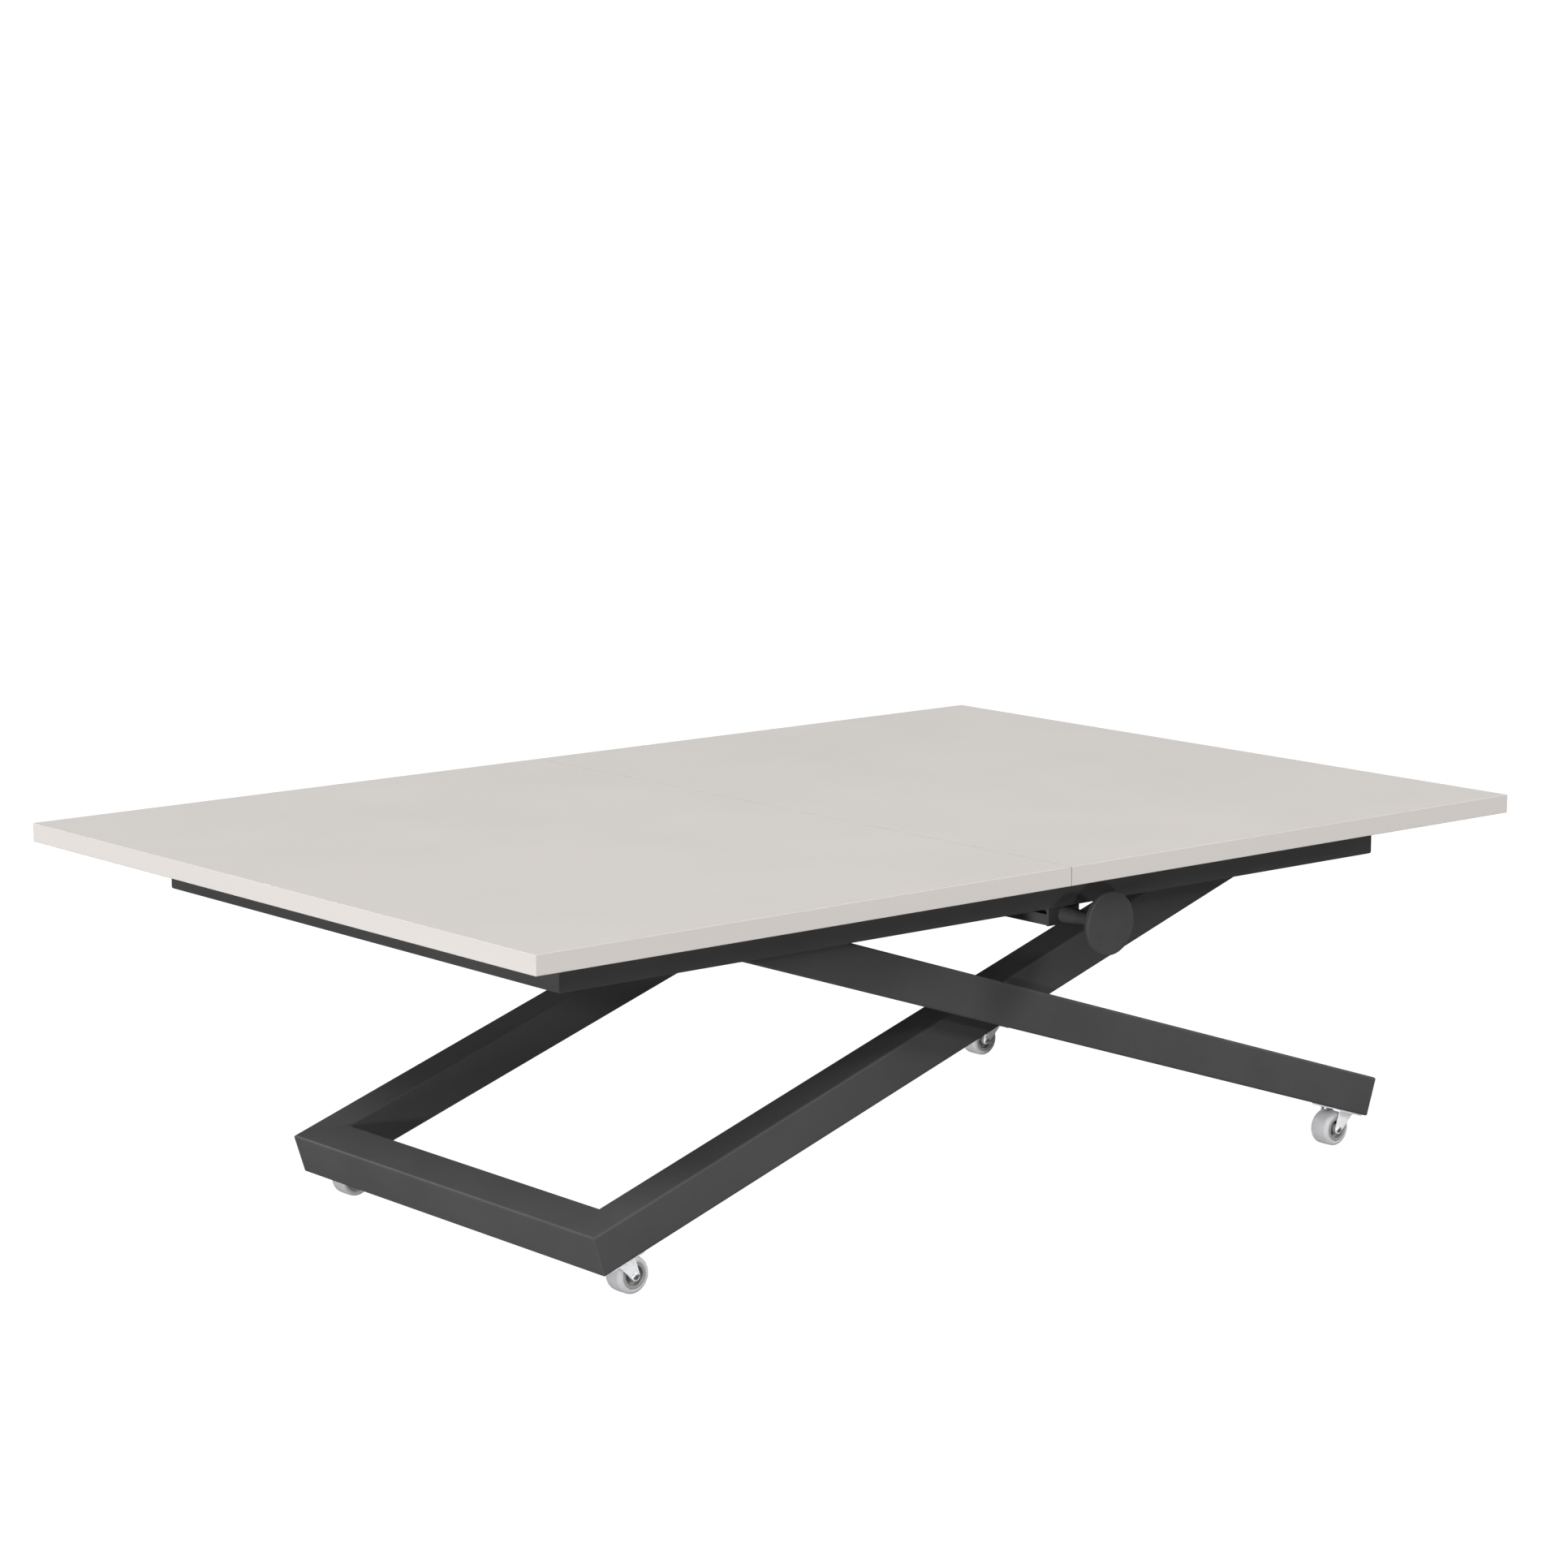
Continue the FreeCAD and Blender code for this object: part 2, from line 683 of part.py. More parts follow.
def leg(label, frame, side):
    """One leg tube, mitred to its lower bar; side is the leg's side in the frame's own axes."""
    body = new_body(label)
    tail = leg_tails[frame]
    leg_y = f"{side} * ({leg_rows[frame]})"
    sketch = new_sketch(body, "YZ", f"-({tail})")
    tube_section(sketch, leg_y, "0", "leg_tube", "leg_tube", "leg_wall", "leg_round")
    pad(body, sketch, f"{tail} + head_end")
    mitre(body, f"-({tail})", f"{leg_y} + {side} * leg_half", -1, side, "leg_tube", "x")
    pivots = new_sketch(body, "XZ", leg_y)
    upper = new_sketch(body, "XZ", leg_y)
    if frame == "inner":
        circle(pivots, "0", "0", "bush_radius")
        pocket(body, pivots)
        circle(upper, "upper_arm", "0", "slider_radius + pivot_play")
        pocket(body, upper)
    else:
        circle(pivots, "0", "0", "bolt_radius + pivot_play")
        pocket(body, pivots, "leg_tube", turned_round=side > 0)
        circle(upper, "upper_arm", "0", "bush_radius")
        pocket(body, upper)
    screw = new_sketch(body, "XY")
    circle(screw, "fork_x + screw_reach", leg_y, "screw_radius + pivot_play")
    pocket(body, screw, "leg_tube")
    leg_place(body, frame)
    return node(body, label)


def lower_bar(label, frame):
    """Bar that closes the lower end of a leg frame, mitred to both legs."""
    body = new_body(label)
    tail = leg_tails[frame]
    sketch = new_sketch(body, "XZ")
    tube_section(sketch, f"leg_half - ({tail})", "0", "leg_tube", "leg_tube", "leg_wall", "leg_round")
    reach = f"{leg_rows[frame]} + leg_half"
    pad(body, sketch, f"2 * ({reach})", both_ways=True)
    for side in (-1, 1):
        mitre(body, f"-({tail})", f"{side} * ({reach})", -1, side, "leg_tube", "y")
    screws = new_sketch(body, "XY")
    for side in (-1, 1):
        circle(screws, "fork_x - screw_reach", f"{side} * ({leg_rows[frame]})", "screw_radius + pivot_play")
    pocket(body, screws, "leg_tube")
    leg_place(body, frame)
    return node(body, label)


def leg_plug(name, frame, side):
    """Plastic plug in a leg's upper end: a flange, and a tongue along two walls of the tube."""
    body = new_body(name)
    leg_y = f"{side} * ({leg_rows[frame]})"
    flange = new_sketch(body, "YZ", "head_end")
    round_box(flange, leg_y, "0", "leg_tube", "leg_tube", "leg_round")
    pad(body, flange, "plug_flange")
    tongues = new_sketch(body, "YZ", "head_end")
    inside = "leg_half - leg_wall - plug_play"
    low_y = f"{leg_y} - ({inside} - plug_wall)"
    high_y = f"{leg_y} + ({inside} - plug_wall)"
    rectangle(tongues, low_y, f"{inside} - plug_wall", high_y, inside)
    rectangle(tongues, low_y, f"-({inside})", high_y, f"plug_wall - ({inside})")
    pad(body, tongues, "plug_depth", turned_round=True)
    leg_place(body, frame)
    return body


def slider_bar(label):
    """Round bar through both inner legs that carries the two rollers."""
    reach = "rail_face - track_wall - face_play"
    body = turn(label, [
        ("0", f"-({reach})"), ("slider_radius", f"-({reach})"), ("slider_radius", reach), ("0", reach),
    ])
    place(body, "slider_x", "0", "pivot_z")
    return node(body, label)


def roller_spacer(name, yaw):
    low = "inner_y + leg_half"
    high = "rail_face - roller_inset - roller_width - face_play"
    bore = "slider_radius + pivot_play"
    body = turn(name, [(bore, low), ("spacer_radius", low), ("spacer_radius", high), (bore, high)])
    place(body, "slider_x", "0", "pivot_z", yaw)
    return body


def roller(label, yaw):
    high = "rail_face - roller_inset"
    low = f"{high} - roller_width"
    bore = "slider_radius + pivot_play"
    body = turn(label, [
        (bore, low), ("roller_radius - roller_edge", low), ("roller_radius", f"{low} + roller_edge"),
        ("roller_radius", f"{high} - roller_edge"), ("roller_radius - roller_edge", high), (bore, high),
    ])
    place(body, "slider_x", "0", "pivot_z", yaw)
    return node(body, label)


def spring_bar(label):
    """Round tube between the outer legs that the spring pushes on."""
    body = new_body(label)
    sketch = new_sketch(body, "XZ")
    circle(sketch, "upper_arm - spring_arm", "0", "spring_bar_radius")
    circle(sketch, "upper_arm - spring_arm", "0", "spring_bar_radius - spring_bar_wall")
    pad(body, sketch, "2 * (outer_y - leg_half)", both_ways=True)
    leg_place(body, "outer")
    return node(body, label)


leg("inner_leg_front", "inner", -1)
leg("inner_leg_back", "inner", 1)
lower_bar("inner_lower_bar", "inner")
group("inner_leg_plugs", [leg_plug(f"inner_leg_plug_{side + 1}", "inner", side) for side in (-1, 1)])
on_each_side("cross_pivot_bushes", lambda name, yaw: pivot_bush(
    name, yaw, "inner_y", "leg_gap", "cross_shift", "cross_z"))
slider_bar("slider_bar")
on_each_side("roller_spacers", roller_spacer)
roller("roller_front", "180")
roller("roller_back", "0")
leg("outer_leg_front", "outer", 1)
leg("outer_leg_back", "outer", -1)
lower_bar("outer_lower_bar", "outer")
spring_bar("spring_bar")
group("outer_leg_plugs", [leg_plug(f"outer_leg_plug_{side + 1}", "outer", side) for side in (-1, 1)])
on_each_side("top_pivot_bushes", lambda name, yaw: pivot_bush(
    name, yaw, "outer_y", "side_gap", "fixed_x", "pivot_z"))
on_each_side("cross_pivot_bolts", lambda name, yaw: pivot_bolt(
    name, yaw, "inner_y - leg_half", "outer_y - leg_half + leg_wall", "cross_shift", "cross_z"))
on_each_side("cross_pivot_nuts", lambda name, yaw: rivet_nut(
    name, yaw, "outer_y - leg_half + leg_wall", "cross_shift", "cross_z"))

# Casters

def fork(name, frame, side):
    """Pressed fork: a plate on the leg's lower face and two arms that taper to the axle."""
    body = new_body(name)
    leg_y = f"{side} * ({leg_rows[frame]})"
    base = new_sketch(body, "XY", "-leg_half")
    round_box(base, "fork_x", leg_y, "fork_length", "fork_width", "arm_end_radius")
    for step in (-1, 1):
        circle(base, f"fork_x + {step} * screw_reach", leg_y, "screw_radius + pivot_play")
    pad(body, base, "fork_sheet", turned_round=True)
    for step in (-1, 1):
        arm = new_sketch(body, "XZ", f"{leg_y} + {step} * (arm_face + fork_sheet / 2)")
        fork_arm(arm)
        pad(body, arm, "fork_sheet", both_ways=True)
    leg_place(body, frame)
    return body


def fork_arm(sketch):
    """Arm outline: straight down from the plate, round the axle and back up on a slant."""
    axle_x = "-lower_arm"
    axle_z = "-leg_half - fork_drop"
    right = f"{axle_x} + arm_end_radius"
    left = f"{right} - arm_width"
    top = "-leg_half - fork_sheet"
    reach = number("arm_end_radius")
    centre = FreeCAD.Vector(number(axle_x), number(axle_z), 0)
    corner = FreeCAD.Vector(number(left), number(top), 0)
    half_turn = FreeCAD.Units.parseQuantity("180 deg").getValueAs("rad").Value
    whole = Part.Circle(centre, FreeCAD.Vector(0, 0, 1), reach)
    sketch.addGeometry(Part.ArcOfCircle(whole, -half_turn, 0))
    sketch.addGeometry(Part.LineSegment(sketch.getPoint(0, 2), FreeCAD.Vector(number(right), number(top), 0)))
    sketch.addGeometry(Part.LineSegment(sketch.getPoint(1, 2), corner))
    sketch.addGeometry(Part.LineSegment(corner, sketch.getPoint(0, 1)))
    sketch.addConstraint(Sketcher.Constraint("Tangent", 0, 2, 1, 1))
    sketch.addConstraint(Sketcher.Constraint("Coincident", 1, 2, 2, 1))
    sketch.addConstraint(Sketcher.Constraint("Coincident", 2, 2, 3, 1))
    sketch.addConstraint(Sketcher.Constraint("Tangent", 3, 2, 0, 1))
    bind(sketch, Sketcher.Constraint("Radius", 0, reach), "arm_end_radius")
    fix(sketch, 0, 3, axle_x, axle_z)
    fix(sketch, 2, 2, left, top)
    bind(sketch, Sketcher.Constraint("DistanceY", -1, 1, 1, 2, number(top)), top)
    bind(sketch, Sketcher.Constraint("DistanceX", -1, 1, 1, 2, number(right)), right)
    circle(sketch, axle_x, axle_z, "axle_radius + pivot_play")


def axle_spot(item, frame, y):
    """Axles stand one wheel radius above the floor, to the left of the crossing or to its right."""
    way = {"inner": "-1", "outer": "1"}[frame]
    place(item, f"cross_shift + {way} * axle_x", y, "wheel_radius")


def axle_pin(name, frame, y):
    """Rivet through both arms, with a low head at each end."""
    reach = "arm_face + fork_sheet + pivot_play"
    body = turn(name, [
        ("0", f"-({reach} + rivet_head)"), ("rivet_radius", f"-({reach} + rivet_head)"),
        ("rivet_radius", f"-({reach})"), ("axle_radius", f"-({reach})"), ("axle_radius", reach),
        ("rivet_radius", reach), ("rivet_radius", f"{reach} + rivet_head"),
        ("0", f"{reach} + rivet_head"),
    ])
    axle_spot(body, frame, y)
    return body


def tyre(label, frame, y):
    half = "wheel_width / 2"
    body = turn(label, [
        ("rim_radius", f"-{half}"), ("wheel_radius", f"-{half}"),
        ("wheel_radius", half), ("rim_radius", half),
    ])
    round_edges(body, "tyre_round", lambda edge: outermost(edge, "wheel_radius"))
    axle_spot(body, frame, y)
    return node(body, label)


def outermost(edge, radius):
    """True for a full circle of the named radius."""
    curve = edge.Curve
    slack = number("pivot_play")
    return hasattr(curve, "Radius") and abs(curve.Radius - number(radius)) < slack and edge.isClosed()


def hub(label, frame, y):
    """Wheel centre: a rim under the tyre, a web and a boss on the axle."""
    half = "wheel_width / 2"
    deep = f"({half} - hub_recess)"
    bore = "axle_radius + pivot_play"
    rim = "rim_radius - hub_rim"
    body = turn(label, [
        (bore, f"-{half}"), ("hub_radius", f"-{half}"), ("hub_radius", f"-{deep}"), (rim, f"-{deep}"),
        (rim, f"-{half}"), ("rim_radius", f"-{half}"), ("rim_radius", half), (rim, half), (rim, deep),
        ("hub_radius", deep), ("hub_radius", half), (bore, half),
    ])
    axle_spot(body, frame, y)
    return node(body, label)


def caster_screw(name, frame, side, step):
    """Pan-head screw through the fork's plate into the leg's lower wall."""
    under = "-leg_half - fork_sheet"
    body = turn(name, [
        ("0", f"{under} - screw_head"),
        ("screw_head_radius", f"{under} - screw_head"), ("screw_head_radius", under),
        ("screw_radius", under), ("screw_radius", f"{under} + screw_length"),
        ("0", f"{under} + screw_length"),
    ], "XZ")
    yaw = {"inner": "0", "outer": "180"}[frame]
    way = {"inner": "1", "outer": "-1"}[frame]
    along = f"(fork_x + {step} * screw_reach)"
    place(body, f"cross_shift + {way} * {along} * cos(leg_angle)", f"{way} * {side} * ({leg_rows[frame]})",
          f"cross_z + {along} * sin(leg_angle)", yaw, "-leg_angle")
    return body


for place_name, frame in (("left", "inner"), ("right", "outer")):
    row = leg_rows[frame]
    group(f"caster_forks_{place_name}", [
        fork(f"fork_{place_name}_{side + 1}", frame, side) for side in (-1, 1)])
    group(f"caster_screws_{place_name}", [
        caster_screw(f"caster_screw_{place_name}_{side + 1}_{step + 1}", frame, side, step)
        for side in (-1, 1) for step in (-1, 1)])
    group(f"axle_pins_{place_name}", [
        axle_pin(f"axle_pin_{place_name}_{side + 1}", frame, f"{side} * ({row})") for side in (-1, 1)])
    for end, side in (("front", -1), ("back", 1)):
        tyre(f"tyre_{place_name}_{end}", frame, f"{side} * ({row})")
        hub(f"hub_{place_name}_{end}", frame, f"{side} * ({row})")

# Release

def knob(label):
    """Disc knob with a tapered stem, turned in one piece; its axis runs out to the front."""
    base = "hanger_face + knob_play"
    face = "frame_width / 2 + knob_reach"
    back = f"{face} - knob_thickness"
    body = turn(label, [
        ("shaft_radius", base), ("stem_base_radius", base), ("stem_radius", f"{base} + stem_taper"),
        ("stem_radius", back), ("knob_radius", back), ("knob_radius", face), ("0", face),
        ("0", f"{back} - overrun"), ("shaft_radius", f"{back} - overrun"),
    ])
    round_edges(body, "knob_round", lambda edge: outermost(edge, "knob_radius"))
    place(body, "knob_shift", "0", "shaft_z", "180")
    return node(body, label)


def release_shaft(label):
    end = "ear_gap / 2 + ear_sheet + shaft_end"
    start = "frame_width / 2 + knob_reach - knob_thickness - overrun"
    body = turn(label, [
        ("0", f"-({end})"), ("shaft_radius", f"-({end})"), ("shaft_radius", start), ("0", start),
    ])
    place(body, "knob_shift", "0", "shaft_z", "180")
    return node(body, label)


def release_lever(label):
    """Bent lever on the shaft whose nose stands before the spring's valve pin."""
    body = new_body(label)
    blade = new_sketch(body, "XZ")
    low = "lever_hub_radius - lever_thickness"
    polygon(blade, [
        ("0", low), ("lever_reach", low), ("lever_reach", "lever_rise"),
        ("lever_reach - lever_thickness", "lever_rise"),
        ("lever_reach - lever_thickness", "lever_hub_radius"),
        ("0", "lever_hub_radius"),
    ])
    pad(body, blade, "lever_width", both_ways=True)
    boss = new_sketch(body, "XZ")
    circle(boss, "0", "0", "lever_hub_radius")
    pad(body, boss, "lever_width", both_ways=True)
    bore = new_sketch(body, "XZ")
    circle(bore, "0", "0", "shaft_radius")
    pocket(body, bore)
    place(body, "knob_shift", "0", "shaft_z")
    return node(body, label)


knob("release_knob")
release_shaft("release_shaft")
release_lever("release_lever")

# Gas spring

def spring_piece(label, profile):
    body = turn(label, profile, "XY", "H_Axis")
    spring_place(body)
    return node(body, label)


def gas_eye(label):
    """Eye round the spring's bar, on a short shank screwed to the cylinder."""
    body = new_body(label)
    ring = new_sketch(body, "XZ")
    circle(ring, "-spring_length", "0", "eye_radius")
    circle(ring, "-spring_length", "0", "eye_radius - eye_wall")
    pad(body, ring, "eye_width", both_ways=True)
    shank = new_sketch(body, "YZ", "-cylinder_back")
    circle(shank, "0", "0", "eye_shank_radius")
    pad(body, shank, "eye_shank + eye_wall / 2", turned_round=True)
    spring_place(body)
    return node(body, label)


def release_head(label):
    """Head on the rod: a socket for the rod, a bore for the valve pin and a trunnion on each side."""
    body = turn(label, [
        ("-head_back", "rod_radius"), ("-head_back", "head_radius"), ("head_front", "head_radius"),
        ("head_front", "valve_radius + pivot_play"),
        ("head_socket - head_back", "valve_radius + pivot_play"),
        ("head_socket - head_back", "rod_radius"),
    ], "XY", "H_Axis")
    stub = new_sketch(body, "XZ")
    circle(stub, "0", "0", "trunnion_radius")
    pad(body, stub, "ear_gap + 2 * ear_sheet", both_ways=True)
    bore = new_sketch(body, "YZ", "head_socket - head_back")
    circle(bore, "0", "0", "valve_radius + pivot_play")
    pocket(body, bore, "head_back + head_front", turned_round=True)
    spring_place(body)
    return node(body, label)


spring_piece("gas_cylinder", [
    ("-cylinder_back", "0"), ("-cylinder_back", "cylinder_radius"),
    ("-cylinder_front", "cylinder_radius"),
    ("-cylinder_front", "bore_radius"), ("cylinder_cap - cylinder_back", "bore_radius"),
    ("cylinder_cap - cylinder_back", "0"),
])
spring_piece("gas_guide", [
    ("-cylinder_front - guide_depth", "rod_radius + pivot_play"),
    ("-cylinder_front - guide_depth", "bore_radius"),
    ("-cylinder_front", "bore_radius"), ("-cylinder_front", "cylinder_radius"),
    ("guide_lip - cylinder_front", "cylinder_radius"),
    ("guide_lip - cylinder_front", "rod_radius + pivot_play"),
])
gas_eye("gas_eye")
piston_low = "-cylinder_front - guide_depth - piston_gap - piston_width"
spring_piece("gas_rod", [
    (piston_low, "0"), (piston_low, "bore_radius - pivot_play"),
    (f"{piston_low} + piston_width", "bore_radius - pivot_play"),
    (f"{piston_low} + piston_width", "rod_radius"),
    ("head_socket - head_back", "rod_radius"), ("head_socket - head_back", "0"),
])
release_head("release_head")
spring_piece("valve_pin", [
    ("head_socket - head_back + valve_out", "0"), ("head_socket - head_back + valve_out", "valve_radius"),
    ("head_front + valve_out", "valve_radius"), ("head_front + valve_out", "0"),
])

doc.recompute()
for item in doc.Objects:
    if "Invalid" in item.State or "Error" in item.State:
        raise RuntimeError(f"{item.Name} failed: {item.State}")
for item in nodes:
    if item.Shape.isNull() or not item.Shape.isValid():
        raise RuntimeError(f"{item.Label} has no valid shape")

os.makedirs("parts", exist_ok=True)
for item in nodes:
    item.Shape.exportStep(f"parts/{item.Label}.step")
print(len(nodes), "nodes written")
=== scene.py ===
import json
import math

import bmesh
import bpy
import numpy as np
from mathutils import Matrix, Vector

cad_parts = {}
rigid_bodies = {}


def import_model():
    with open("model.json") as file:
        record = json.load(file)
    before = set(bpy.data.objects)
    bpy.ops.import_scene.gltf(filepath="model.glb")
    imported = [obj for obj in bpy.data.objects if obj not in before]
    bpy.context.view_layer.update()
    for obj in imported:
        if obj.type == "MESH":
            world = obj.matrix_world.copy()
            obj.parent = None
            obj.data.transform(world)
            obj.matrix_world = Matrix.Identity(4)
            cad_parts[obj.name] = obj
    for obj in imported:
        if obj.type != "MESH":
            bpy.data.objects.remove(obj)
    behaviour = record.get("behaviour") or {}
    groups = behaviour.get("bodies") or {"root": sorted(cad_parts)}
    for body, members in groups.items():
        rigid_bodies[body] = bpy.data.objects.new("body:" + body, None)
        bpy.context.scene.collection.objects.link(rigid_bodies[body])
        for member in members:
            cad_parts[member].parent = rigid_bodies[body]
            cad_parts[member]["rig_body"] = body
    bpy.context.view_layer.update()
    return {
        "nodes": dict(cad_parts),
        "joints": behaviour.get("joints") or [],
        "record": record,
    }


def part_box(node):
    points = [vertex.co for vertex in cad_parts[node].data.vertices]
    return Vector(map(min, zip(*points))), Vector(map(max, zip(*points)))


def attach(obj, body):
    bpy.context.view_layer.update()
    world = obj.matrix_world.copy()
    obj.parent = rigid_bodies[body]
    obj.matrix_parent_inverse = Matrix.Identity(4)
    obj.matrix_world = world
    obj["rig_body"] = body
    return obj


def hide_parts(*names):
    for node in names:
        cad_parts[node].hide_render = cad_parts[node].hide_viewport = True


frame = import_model()
print("frame loaded:", len(frame["nodes"]), "nodes")

quarter = math.pi / 2
sharp = 1e-5  # radius of a corner that stays sharp
play = 0.00005  # gap between faces that fit
weldDistance = 2e-6
crease = math.radians(35)  # edges that turn more than this show sharp


# surfaces: each shape is a grid of points worked out as one array

def around(steps):
    return np.arange(steps) * 2 * math.pi / steps


def gridFaces(rows, columns, closedRows=False):
    # quads between neighbouring rows and columns; columns wrap round, rows only where they close
    r, c = np.meshgrid(np.arange(rows if closedRows else rows - 1), np.arange(columns), indexing="ij")
    below, beside = (r + 1) % rows, (c + 1) % columns
    quads = [r * columns + c, below * columns + c, below * columns + beside, r * columns + beside]
    return np.stack(quads, -1).reshape(-1, 4).tolist()


def rounded(points, radii, steps=6):
    # outline whose corners become arcs: an arc touches its sides at radius / tan(half the corner's angle)
    points = np.array(points, float)
    radii = np.broadcast_to(np.maximum(radii, 1e-7), len(points))
    before, after = np.roll(points, 1, 0) - points, np.roll(points, -1, 0) - points
    before /= np.linalg.norm(before, axis=1, keepdims=True)
    after /= np.linalg.norm(after, axis=1, keepdims=True)
    half = np.arccos(np.clip((before * after).sum(1), -0.999999, 0.999999)) / 2
    inward = (before + after) / np.linalg.norm(before + after, axis=1, keepdims=True)
    centre = points + inward * (radii / np.sin(half))[:, None]
    start = points + before * (radii / np.tan(half))[:, None] - centre
    way = np.sign(before[:, 1] * after[:, 0] - before[:, 0] * after[:, 1])
    angle = (way * (math.pi - 2 * half))[:, None] * np.linspace(0, 1, steps)
    cos, sin = np.cos(angle), np.sin(angle)
    arcs = np.stack([start[:, :1] * cos - start[:, 1:] * sin, start[:, :1] * sin + start[:, 1:] * cos], -1)
    return (centre[:, None] + arcs).reshape(-1, 2)


def box2(width, height, radius, steps=6):
    # rectangle about the origin with rounded corners
    corners = np.array([(1, 1), (-1, 1), (-1, -1), (1, -1)]) * (width / 2, height / 2)
    return rounded(corners, radius, steps)


def turned(profile, steps=64, closed=False):
    # rows (along, radius) swung about the Y axis: x = radius cos(a), y = along, z = radius sin(a);
    # a radius may be a row of values, one for each step of the angle
    angle = around(steps)
    along = np.array([row[0] for row in profile], float)[:, None]
    radius = np.stack([np.broadcast_to(np.asarray(row[1], float), steps) for row in profile])
    points = np.stack([radius * np.cos(angle), along + 0 * radius, radius * np.sin(angle)], -1)
    return points.reshape(-1, 3), gridFaces(len(profile), steps, closed)


def rod(low, high, radius, chamfer):
    # rows of a round bar with chamfered ends, for turned()
    return [
        (low, 0), (low, radius - chamfer), (low + chamfer, radius),
        (high - chamfer, radius), (high, radius - chamfer), (high, 0),
    ]


def hexEdge(apothem, steps=64):
    # radius of a hexagon at each angle: apothem / cos(angle from the nearest flat's middle)
    return apothem / np.cos((around(steps) + math.pi / 6) % (math.pi / 3) - math.pi / 6)


def crossEdge(reach, half, steps=64):
    # radius of a plus sign at each angle: the farther of its two bars
    angle = around(steps)
    cos, sin = np.maximum(abs(np.cos(angle)), 1e-6), np.maximum(abs(np.sin(angle)), 1e-6)
    return np.maximum(np.minimum(reach / cos, half / sin), np.minimum(reach / sin, half / cos))


def swept(sections):
    # skin through rows of equal sections, with a flat face over each end
    sections = np.asarray(sections, float)
    rows, count = sections.shape[:2]
    ends = [list(range(count)), list(range((rows - 1) * count, rows * count))]
    return sections.reshape(-1, 3), gridFaces(rows, count) + ends


def plate(outline, low, high, ease=0.0003):
    # outline (a, b) between two levels, its rims eased by drawing the end rows in along the outline's normals
    outline = np.asarray(outline, float)
    along = np.roll(outline, -1, 0) - np.roll(outline, 1, 0)
    normal = np.stack([along[:, 1], -along[:, 0]], -1) / np.linalg.norm(along, axis=1, keepdims=True)
    area = (outline[:, 0] * np.roll(outline[:, 1], -1) - np.roll(outline[:, 0], -1) * outline[:, 1]).sum()
    inner = outline - normal * ease * np.sign(area)
    rows = [(inner, low), (outline, low + ease), (outline, high - ease), (inner, high)]
    return swept([np.column_stack([ring, np.full(len(ring), level)]) for ring, level in rows])


# camera where the photograph was taken from

cameraView = {
    "place": (-2.530, -3.001, 1.04606),
    "ahead": (0.6356, 0.7543, -0.1645),
    "lens": 94.07, "sensor": 36.0, "reach": 200.0,
}


def addCamera(view):
    ahead = Vector(view["ahead"]).normalized()
    right = ahead.cross(Vector((0, 0, 1))).normalized()
    up = right.cross(ahead)
    turn = Matrix((right, up, -ahead)).transposed()  # columns are the camera's own axes
    data = bpy.data.cameras.new("photoCamera")
    data.lens = view["lens"]
    data.sensor_width = view["sensor"]
    data.clip_end = view["reach"]
    camera = bpy.data.objects.new("photoCamera", data)
    camera.matrix_world = Matrix.Translation(view["place"]) @ turn.to_4x4()
    bpy.context.scene.collection.objects.link(camera)
    bpy.context.scene.camera = camera


addCamera(cameraView)


# pale floor that rises into a backdrop far away, a dim room and soft lamps

studio = {
    "floorRadius": 40.0, "sweepRadius": 20.0, "rise": 25.0, "middle": 0.001, "bendSteps": 24, "sides": 96,
    "floorColour": 0.05, "glow": 1.0,
    "room": [  # how far up the way goes, strength
        (-1.0, 0.30), (-0.6, 0.10), (-0.35, 0.0), (0.6, 0.0), (0.8, 0.08), (1.0, 0.08),
    ],
    "lampDistance": 20.0,
    "lights": [  # name, degrees from the front towards the left, degrees above the floor, size, strength
        ("frontKey", 32, 2, 0.6, 0.20),
        ("frontLow", 0, 10, 1.4, 0.17),
        ("frontBox", 0, 25, 4.0, 0.28),
        ("rightBox", -38, 34, 6.0, 0.48),
        ("highBox", 35, 52, 5.0, 0.24),
        ("leftBox", 85, 43, 5.0, 0.64),
        ("leftLow", 85, -13, 3.0, 0.80),
        ("rightFill", -75, 12, 5.0, 0.16),
        ("rearFill", 165, 20, 5.0, 0.40),
    ],
    "aim": (0.0, 0.0, 0.25),
}


def addFloor(studio):
    # profile (radius, height): flat, then a quarter of an ellipse up, carried round the Z axis
    bend = np.linspace(0, quarter, studio["bendSteps"])
    sweep = studio["floorRadius"] + studio["sweepRadius"] * np.sin(bend)
    radius = np.concatenate([[studio["middle"]], sweep])[:, None]
    height = np.concatenate([[0], studio["rise"] * (1 - np.cos(bend))])[:, None]
    angle = around(studio["sides"])
    points = np.stack([radius * np.cos(angle), radius * np.sin(angle), height + 0 * angle], -1)
    faces = gridFaces(len(radius), len(angle)) + [list(range(len(angle)))]
    mesh = bpy.data.meshes.new("paleFloor")
    mesh.from_pydata(points.reshape(-1, 3).tolist(), [], faces)
    floor = bpy.data.objects.new("paleFloor", mesh)
    bpy.context.scene.collection.objects.link(floor)
    paint = bpy.data.materials.new("floorPaint")
    paint.use_nodes = True
    shader = paint.node_tree.nodes["Principled BSDF"]
    shader.inputs["Base Color"].default_value = [studio["floorColour"]] * 3 + [1]
    shader.inputs["Roughness"].default_value = 1
    shader.inputs["Specular IOR Level"].default_value = 0
    shader.inputs["Emission Color"].default_value = (1, 1, 1, 1)
    shader.inputs["Emission Strength"].default_value = studio["glow"]
    paint.cycles.emission_sampling = "NONE"
    mesh.materials.append(paint)
    floor.visible_diffuse = False  # the glow is for the eye, and doesn't light the table
    floor.visible_glossy = False
    floor.visible_shadow = False


